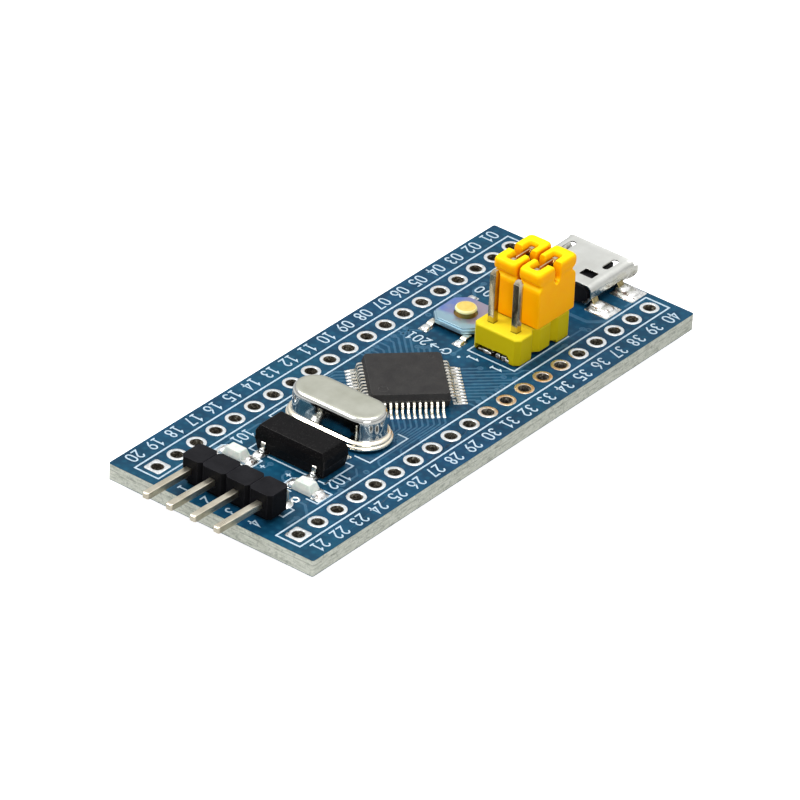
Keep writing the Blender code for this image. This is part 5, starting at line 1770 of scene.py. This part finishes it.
def through_hole_solder():
    """Cones under every joint, and low collars on top round the header pins."""
    part = Part()
    for n, (x, y, r) in enumerate(PIN_HOLES):
        thin = n >= len(HEADER_HOLES)
        w = 0.24 if thin else 0.40
        drop = 0.55 if thin else 0.8
        part.revolve(x, y, [
            (r - 0.02, -0.045), (r - 0.06, -0.12), (r - 0.18, -0.28), (w + 0.12, -drop * 0.62),
            (w + 0.03, -drop * 0.85), (w - 0.06, -drop), (0.0, -drop - 0.02)], 24)
        if not thin:
            part.revolve(x, y, raised([
                (r - 0.06, 0.04), (r - 0.12, 0.08), (w + 0.13, 0.13), (w + 0.04, 0.2),
                (w - 0.08, 0.26), (0.0, 0.27)]), 24)
    part.finish("through_hole_solder", "solder", smooth=60, merge=False)


# -------------------------------------------------------------------- micro-USB
USB = Box("usb_shell")
USB_TOP = TOP + 2.2
USB_MOUTH = 26.2  # y where the lip starts to flare
USB_HALF = 3.55
USB_WALL = 0.13


def usb_outline(y, inset, flare):
    """Receptacle outline: flat top, round shoulders, tapered lower half."""
    half = USB_HALF - inset + flare
    top = USB_TOP - inset + flare * 0.3
    bottom = TOP + 0.05 + inset
    r = 0.62 - inset * 0.9
    points = [(half * f, top) for f in (0.0, 0.25, 0.5)]
    for i in range(9):
        a = math.radians(90.0 * i / 8)
        points.append((half - r + r * math.sin(a), top - r + r * math.cos(a)))
    points += [(half, TOP + 1.12), (half - 0.01, TOP + 1.05), (half - 0.05, TOP + 0.97),
               (half - 0.34, TOP + 0.52), (half - 0.62, TOP + 0.22 + inset * 0.6),
               (half - 0.78, bottom + 0.04), (half - 0.95, bottom), (half * 0.4, bottom)]
    points += [(-x, z) for x, z in reversed(points[1:])]
    return [(USB.x + x, y, z) for x, z in points]


def usb_receptacle():
    part = Part()
    stations = [  # y, flare
        (USB.y0, 0.0), (23.2, 0.0), (USB_MOUTH - 0.25, 0.0), (USB_MOUTH - 0.05, 0.01),
        (USB_MOUTH + 0.12, 0.05), (USB_MOUTH + 0.3, 0.11), (USB.y1, 0.22)]
    rings = [part.ring(usb_outline(y, 0.0, f)) for y, f in stations]
    rings += [part.ring(usb_outline(y, USB_WALL, f)) for y, f in reversed(stations)]
    for a, b in zip(rings, rings[1:] + rings[:1]):
        part.bridge(a, b)
    shell = part.finish("usb_receptacle_shell", "shell", smooth=35, replaces=("usb_shell",))

    cutter = Part()
    low, high = USB_TOP - 0.4, USB_TOP + 0.4
    for s in (-1, 1):
        # a long slot and a rectangular window through the top
        x, r = USB.x + s * 2.34, 0.34
        angles = [(y, start + math.pi * k / 10) for y, start in ((25.32, 0.0), (24.02, math.pi))
                  for k in range(11)]
        slot = [(x + r * math.cos(t), y + r * math.sin(t)) for y, t in angles]
        cutter.loft([[(px, py, z) for px, py in slot] for z in (low, high)])
        cutter.slab(USB.x + s * 1.87, 22.2, 1.42, 1.08, low, high, 0.12, 3)
    # seam along the underside, and the open rear underside
    x = USB.x
    cutter.block(x - 0.05, x + 0.05, 20.0, 27.5, TOP - 0.3, TOP + 0.3)
    cutter.block(x - 2.3, x + 2.3, 19.9, 21.9, TOP - 0.3, TOP + 0.4)
    cutter.block(x - 2.9, x + 2.9, 19.9, USB.y0 + 0.32, TOP - 0.3, TOP + 1.75, 0.2)
    # the top ends short of the flared side lips
    cutter.block(x - 5.0, x + 5.0, 26.48, 27.6, TOP + 1.72, USB_TOP + 0.9)
    subtract(shell, cutter)
    shade(shell, 35)
    bevel(shell, 0.03, 2, 50)


def usb_legs():
    part = Part()
    path = raised([(USB_HALF + a, h) for a, h in (
        (-0.20, 0.98), (-0.12, 0.84), (-0.02, 0.66), (0.12, 0.42), (0.22, 0.28),
        (0.34, 0.18), (0.5, 0.13), (1.1, 0.12))])
    for s in (-1, 1):
        for y in (21.05, 24.7):
            part.sweep(path, 0.8, 0.14, (USB.x, y), (s, 0), ease=0.03,
                       widths=[0.8, 0.8, 0.76, 0.72, 0.7, 0.7, 0.72, 0.72])
    part.finish("usb_receptacle_legs", "tab", smooth=40)
    part = Part()
    for s in (-1, 1):
        for n, (ya, yb) in enumerate(((20.0, 22.2), (23.65, 25.9))):
            x, y = USB.x + s * 4.36, (ya + yb) / 2
            seed = n + s * 5
            z = TOP + 0.03
            part.slab(x, y, 2.5, yb - ya, TOP, TOP + 0.04, 0.1, 2)
            part.blob(x, y, 2.42, (yb - ya) * 0.98, 0.22, z, seed=seed + 80, count=36,
                      lobes=0.10, peak=(-s * 0.3, 0.0), power=0.45)
            part.blob(x - s * 0.50, y, 1.35, 1.35, 0.52, z, seed=seed + 90, count=28,
                      lobes=0.18, peak=(-s * 0.22, 0.0))
            part.blob(x + s * 0.35, y + 0.1, 1.3, 1.5, 0.34, z, seed=seed + 97, count=24,
                      lobes=0.25)
    part.finish("usb_receptacle_solder", "solder_flux", smooth=70, merge=False)


def usb_contacts():
    keep_node("usb_insulator", "base_black", 0.05)
    nodes = numbered("usb_contact", 5)
    contacts, solder = Part(), Part()
    for i, b in enumerate(map(Box, nodes)):
        start = b.y0 - USB.y0
        path = [(start + a, TOP + h) for a, h in (
            (0.0, 0.095), (0.36, 0.095), (0.46, 0.11), (0.54, 0.17), (0.58, 0.27),
            (0.6, 0.95), (0.62, 1.08), (0.68, 1.16), (0.8, 1.19))]
        path.append((b.y1 - USB.y0, TOP + 1.19))
        contacts.sweep(path, 0.23, 0.11, (b.x, USB.y0), (0, 1), ease=0.02)
        solder.slab(b.x, b.y0 + 0.05, 0.40, 1.3, TOP, TOP + 0.035, 0.05, 2)
        solder.blob(b.x, b.y0 + 0.12, 0.36, 0.9, 0.2, TOP + 0.03, seed=i + 120, count=14,
                    lobes=0.15, peak=(0.0, 0.1))
    contacts.finish("usb_contacts", "gold", smooth=40, replaces=nodes)
    solder.finish("usb_contact_solder", "solder", smooth=70, merge=False)


# ------------------------------------------- inner parts and parts underneath
def kept_crystal_parts():
    keep_node("hc49_base", "can")
    for k in (1, 2):
        keep_node("hc49_glass_seal_%d" % k, "seal")
        keep_node("hc49_lead_%d" % k, "tin")
    keep_node("hc49_quartz_blank", "quartz", 0.03)


def snap_dome():
    """The thin dome under the plunger, which the press flattens."""
    part = Part()
    radius, foot, rise = 1.6, 0.36, 0.24
    under = [(r, TOP + foot + rise * (1 - (r / radius) ** 2))
             for r in (0.0, 0.3, 0.6, 0.9, 1.15, 1.35, 1.5, radius)]
    over = [(r, z + 0.05) for r, z in reversed(under)]
    part.revolve(SWITCH.x, SWITCH.y, under + over, 48)
    dome = part.finish("snap_dome", "dome", smooth=40, replaces=("reset_dome",))
    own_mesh(dome)


def kept_underside_parts():
    keep_node("regulator_body", "epoxy", 0.05)
    keep_node("regulator_lead_frame", "lead", 0.02)
    for node in CHIPS:
        b = Box(node)
        kind = node.split("_")[0]
        keep_node(node, kind + ("_x" if b.width > b.depth else "_y"),
                  0.05 if kind == "capacitor" else 0.04, 3)


def hanging_joint(part, x, y, width, depth, height, seed):
    """A pad on the underside with a mound of solder hanging from it."""
    part.slab(x, y, width + 0.12, depth + 0.12, 0.0, -0.04, 0.06, 2)
    first = len(part.mesh.verts)
    part.blob(x, y, width, depth, height, 0.0, seed=seed, count=16, lobes=0.15)
    part.mesh.verts.ensure_lookup_table()
    for v in part.mesh.verts[first:]:
        v.co.z = -0.03 - v.co.z


def underside_solder():
    part = Part()
    for n, b in enumerate(map(Box, CHIPS)):
        for s in (-1, 1):
            if b.width > b.depth:
                hanging_joint(part, b.x + s * 0.86, b.y, 0.75, 0.86, 0.3, n + s * 0.5)
            else:
                hanging_joint(part, b.x, b.y + s * 0.86, 0.86, 0.75, 0.3, n + s * 0.5)
    for s, places in ((-1, (-0.95, 0.0, 0.95)), (1, (-0.95, 0.95))):
        for x in places:
            hanging_joint(part, REGULATOR.x + x, REGULATOR.y + s * 1.42, 0.52, 0.7, 0.16, x + s)
    part.finish("underside_solder", "solder", smooth=70, merge=False)


# ------------------------------------------------------ floor, lights and camera
def floor_plane():
    """A pale floor that the camera sees as white."""
    size, z = 420.0, -1.32
    part = Part()
    part.face(part.ring([(-size, -size, z), (size, -size, z), (size, size, z), (-size, size, z)]))
    floor = part.to_object("floor", outward=False)
    m = Material("floor_pale")
    m.set(Base_Color=m.mix(m.noise(size=40.0, detail=2.0), rgb(200, 200, 200), rgb(197, 197, 198)),
          Roughness=0.9, Specular_IOR_Level=0.1)
    camera_ray = m.node("LightPath").outputs["Is Camera Ray"]
    m.set(Emission_Color=(1, 1, 1, 1),
          Emission_Strength=m.range(camera_ray, (0.0, 1.0), to=(0.12, 1.0)))
    floor.data.materials.append(m.data)
    return floor


# grey levels by height of view direction: (position, level), both ends first
ROOM_DIFFUSE = ((0.0, 0.34), (1.0, 0.62), (0.35, 0.22), (0.65, 0.28), (0.85, 0.62))
ROOM_MIRRORED = ((0.0, 0.95), (1.0, 1.0), (0.10, 0.80), (0.20, 0.34), (0.30, 0.50),
                 (0.44, 0.88))


def studio_world():
    """One room for diffuse rays and a brighter one for all others."""
    world = bpy.data.worlds.new("studio")
    bpy.context.scene.world = world
    world.use_nodes = True
    nodes, links = world.node_tree.nodes, world.node_tree.links
    background = next(n for n in nodes if n.type == "BACKGROUND")
    coordinates = nodes.new("ShaderNodeTexCoord")
    split = nodes.new("ShaderNodeSeparateXYZ")
    links.new(coordinates.outputs["Generated"], split.inputs[0])

    def room(stops):
        ramp = nodes.new("ShaderNodeValToRGB")
        links.new(split.outputs[2], ramp.inputs["Fac"])
        elements = ramp.color_ramp.elements
        for k, (position, level) in enumerate(stops):
            element = elements[k] if k < 2 else elements.new(position)
            element.position = position
            element.color = (level, level, min(1.0, level * 1.015), 1.0)
        return ramp.outputs["Color"]

    diffuse = room(ROOM_DIFFUSE)
    mirrored = room(ROOM_MIRRORED)
    path = nodes.new("ShaderNodeLightPath")
    mix = nodes.new("ShaderNodeMix")
    mix.data_type = "RGBA"
    links.new(path.outputs["Is Diffuse Ray"], mix.inputs[0])
    links.new(mirrored, mix.inputs[6])
    links.new(diffuse, mix.inputs[7])
    links.new(mix.outputs[2], background.inputs["Color"])
    background.inputs["Strength"].default_value = 1.0
    # the setting is there only when the Cycles add-on is loaded
    if hasattr(world, "cycles"):
        world.cycles.sampling_method = "NONE"


def area_light(name, place, width, height, watts):
    """A rectangular light aimed at the origin."""
    light = bpy.data.lights.new(name, "AREA")
    light.shape = "RECTANGLE"
    light.size, light.size_y = width * MM, height * MM
    light.energy = watts
    thing = bpy.data.objects.new(name, light)
    bpy.context.scene.collection.objects.link(thing)
    thing.location = Vector(place) * MM
    aim = Vector((0, 0, 0)) - Vector(place)
    thing.rotation_euler = aim.to_track_quat("-Z", "Y").to_euler()


# the camera looks at a point from round towards +X of the -Y end, slightly rolled
CAMERA_AZIMUTH = math.radians(37.119)
CAMERA_ELEVATION = math.radians(32.300)
CAMERA_ROLL = math.radians(2.812)
CAMERA_TARGET = Vector((0.889, -2.263, 1.6)) * MM
CAMERA_DISTANCE = 0.61023  # metres


def camera():
    azimuth, elevation, roll = CAMERA_AZIMUTH, CAMERA_ELEVATION, CAMERA_ROLL
    back = Vector((math.sin(azimuth) * math.cos(elevation),
                   -math.cos(azimuth) * math.cos(elevation), math.sin(elevation)))
    level = Vector((0, 0, 1)).cross(back).normalized()
    upright = back.cross(level)
    right = level * math.cos(roll) + upright * math.sin(roll)
    up = upright * math.cos(roll) - level * math.sin(roll)
    data = bpy.data.cameras.new("camera")
    data.lens = 322.86
    data.sensor_width = 36.0
    data.clip_start = 0.01
    data.clip_end = 10.0
    thing = bpy.data.objects.new("camera", data)
    bpy.context.scene.collection.objects.link(thing)
    matrix = Matrix((right, up, back)).transposed().to_4x4()
    matrix.translation = CAMERA_TARGET + back * CAMERA_DISTANCE
    thing.matrix_world = matrix
    bpy.context.scene.camera = thing


# -------------------------------------------------------------------- the build
board()
plating()
legend_top()
legend_under()
copper()
microcontroller()
main_crystal()
clock_crystal()
led("status", LEDS[0], seed=3.0)
led("power", LEDS[1], seed=8.0)
button_shell()
button_legs()
button_plunger()
boot_header()
boot_pins()
jumper(1, BOOT[1].x)
jumper(2, BOOT[4].x)
debug_block()
debug_pins()
through_hole_solder()
usb_receptacle()
usb_legs()
usb_contacts()
kept_crystal_parts()
snap_dome()
kept_underside_parts()
underside_solder()

scene = bpy.context.scene
FLOOR = floor_plane()
scene.view_settings.view_transform = "Standard"
scene.view_settings.look = "None"
studio_world()
area_light("key", (-150, -100, 220), width=140, height=110, watts=0.46)
area_light("top", (10, 40, 250), width=150, height=150, watts=0.34)
area_light("fill", (170, -150, 90), width=120, height=90, watts=0.15)
camera()

# large flats keep their own normal beside eased edges
for thing in scene.objects:
    if (thing.type == "MESH" and not thing.hide_render and thing.name not in VOXELLED
            and thing is not FLOOR):
        flats = thing.modifiers.new("flats", "WEIGHTED_NORMAL")
        flats.keep_sharp = True
        flats.weight = 60

bpy.context.view_layer.update()
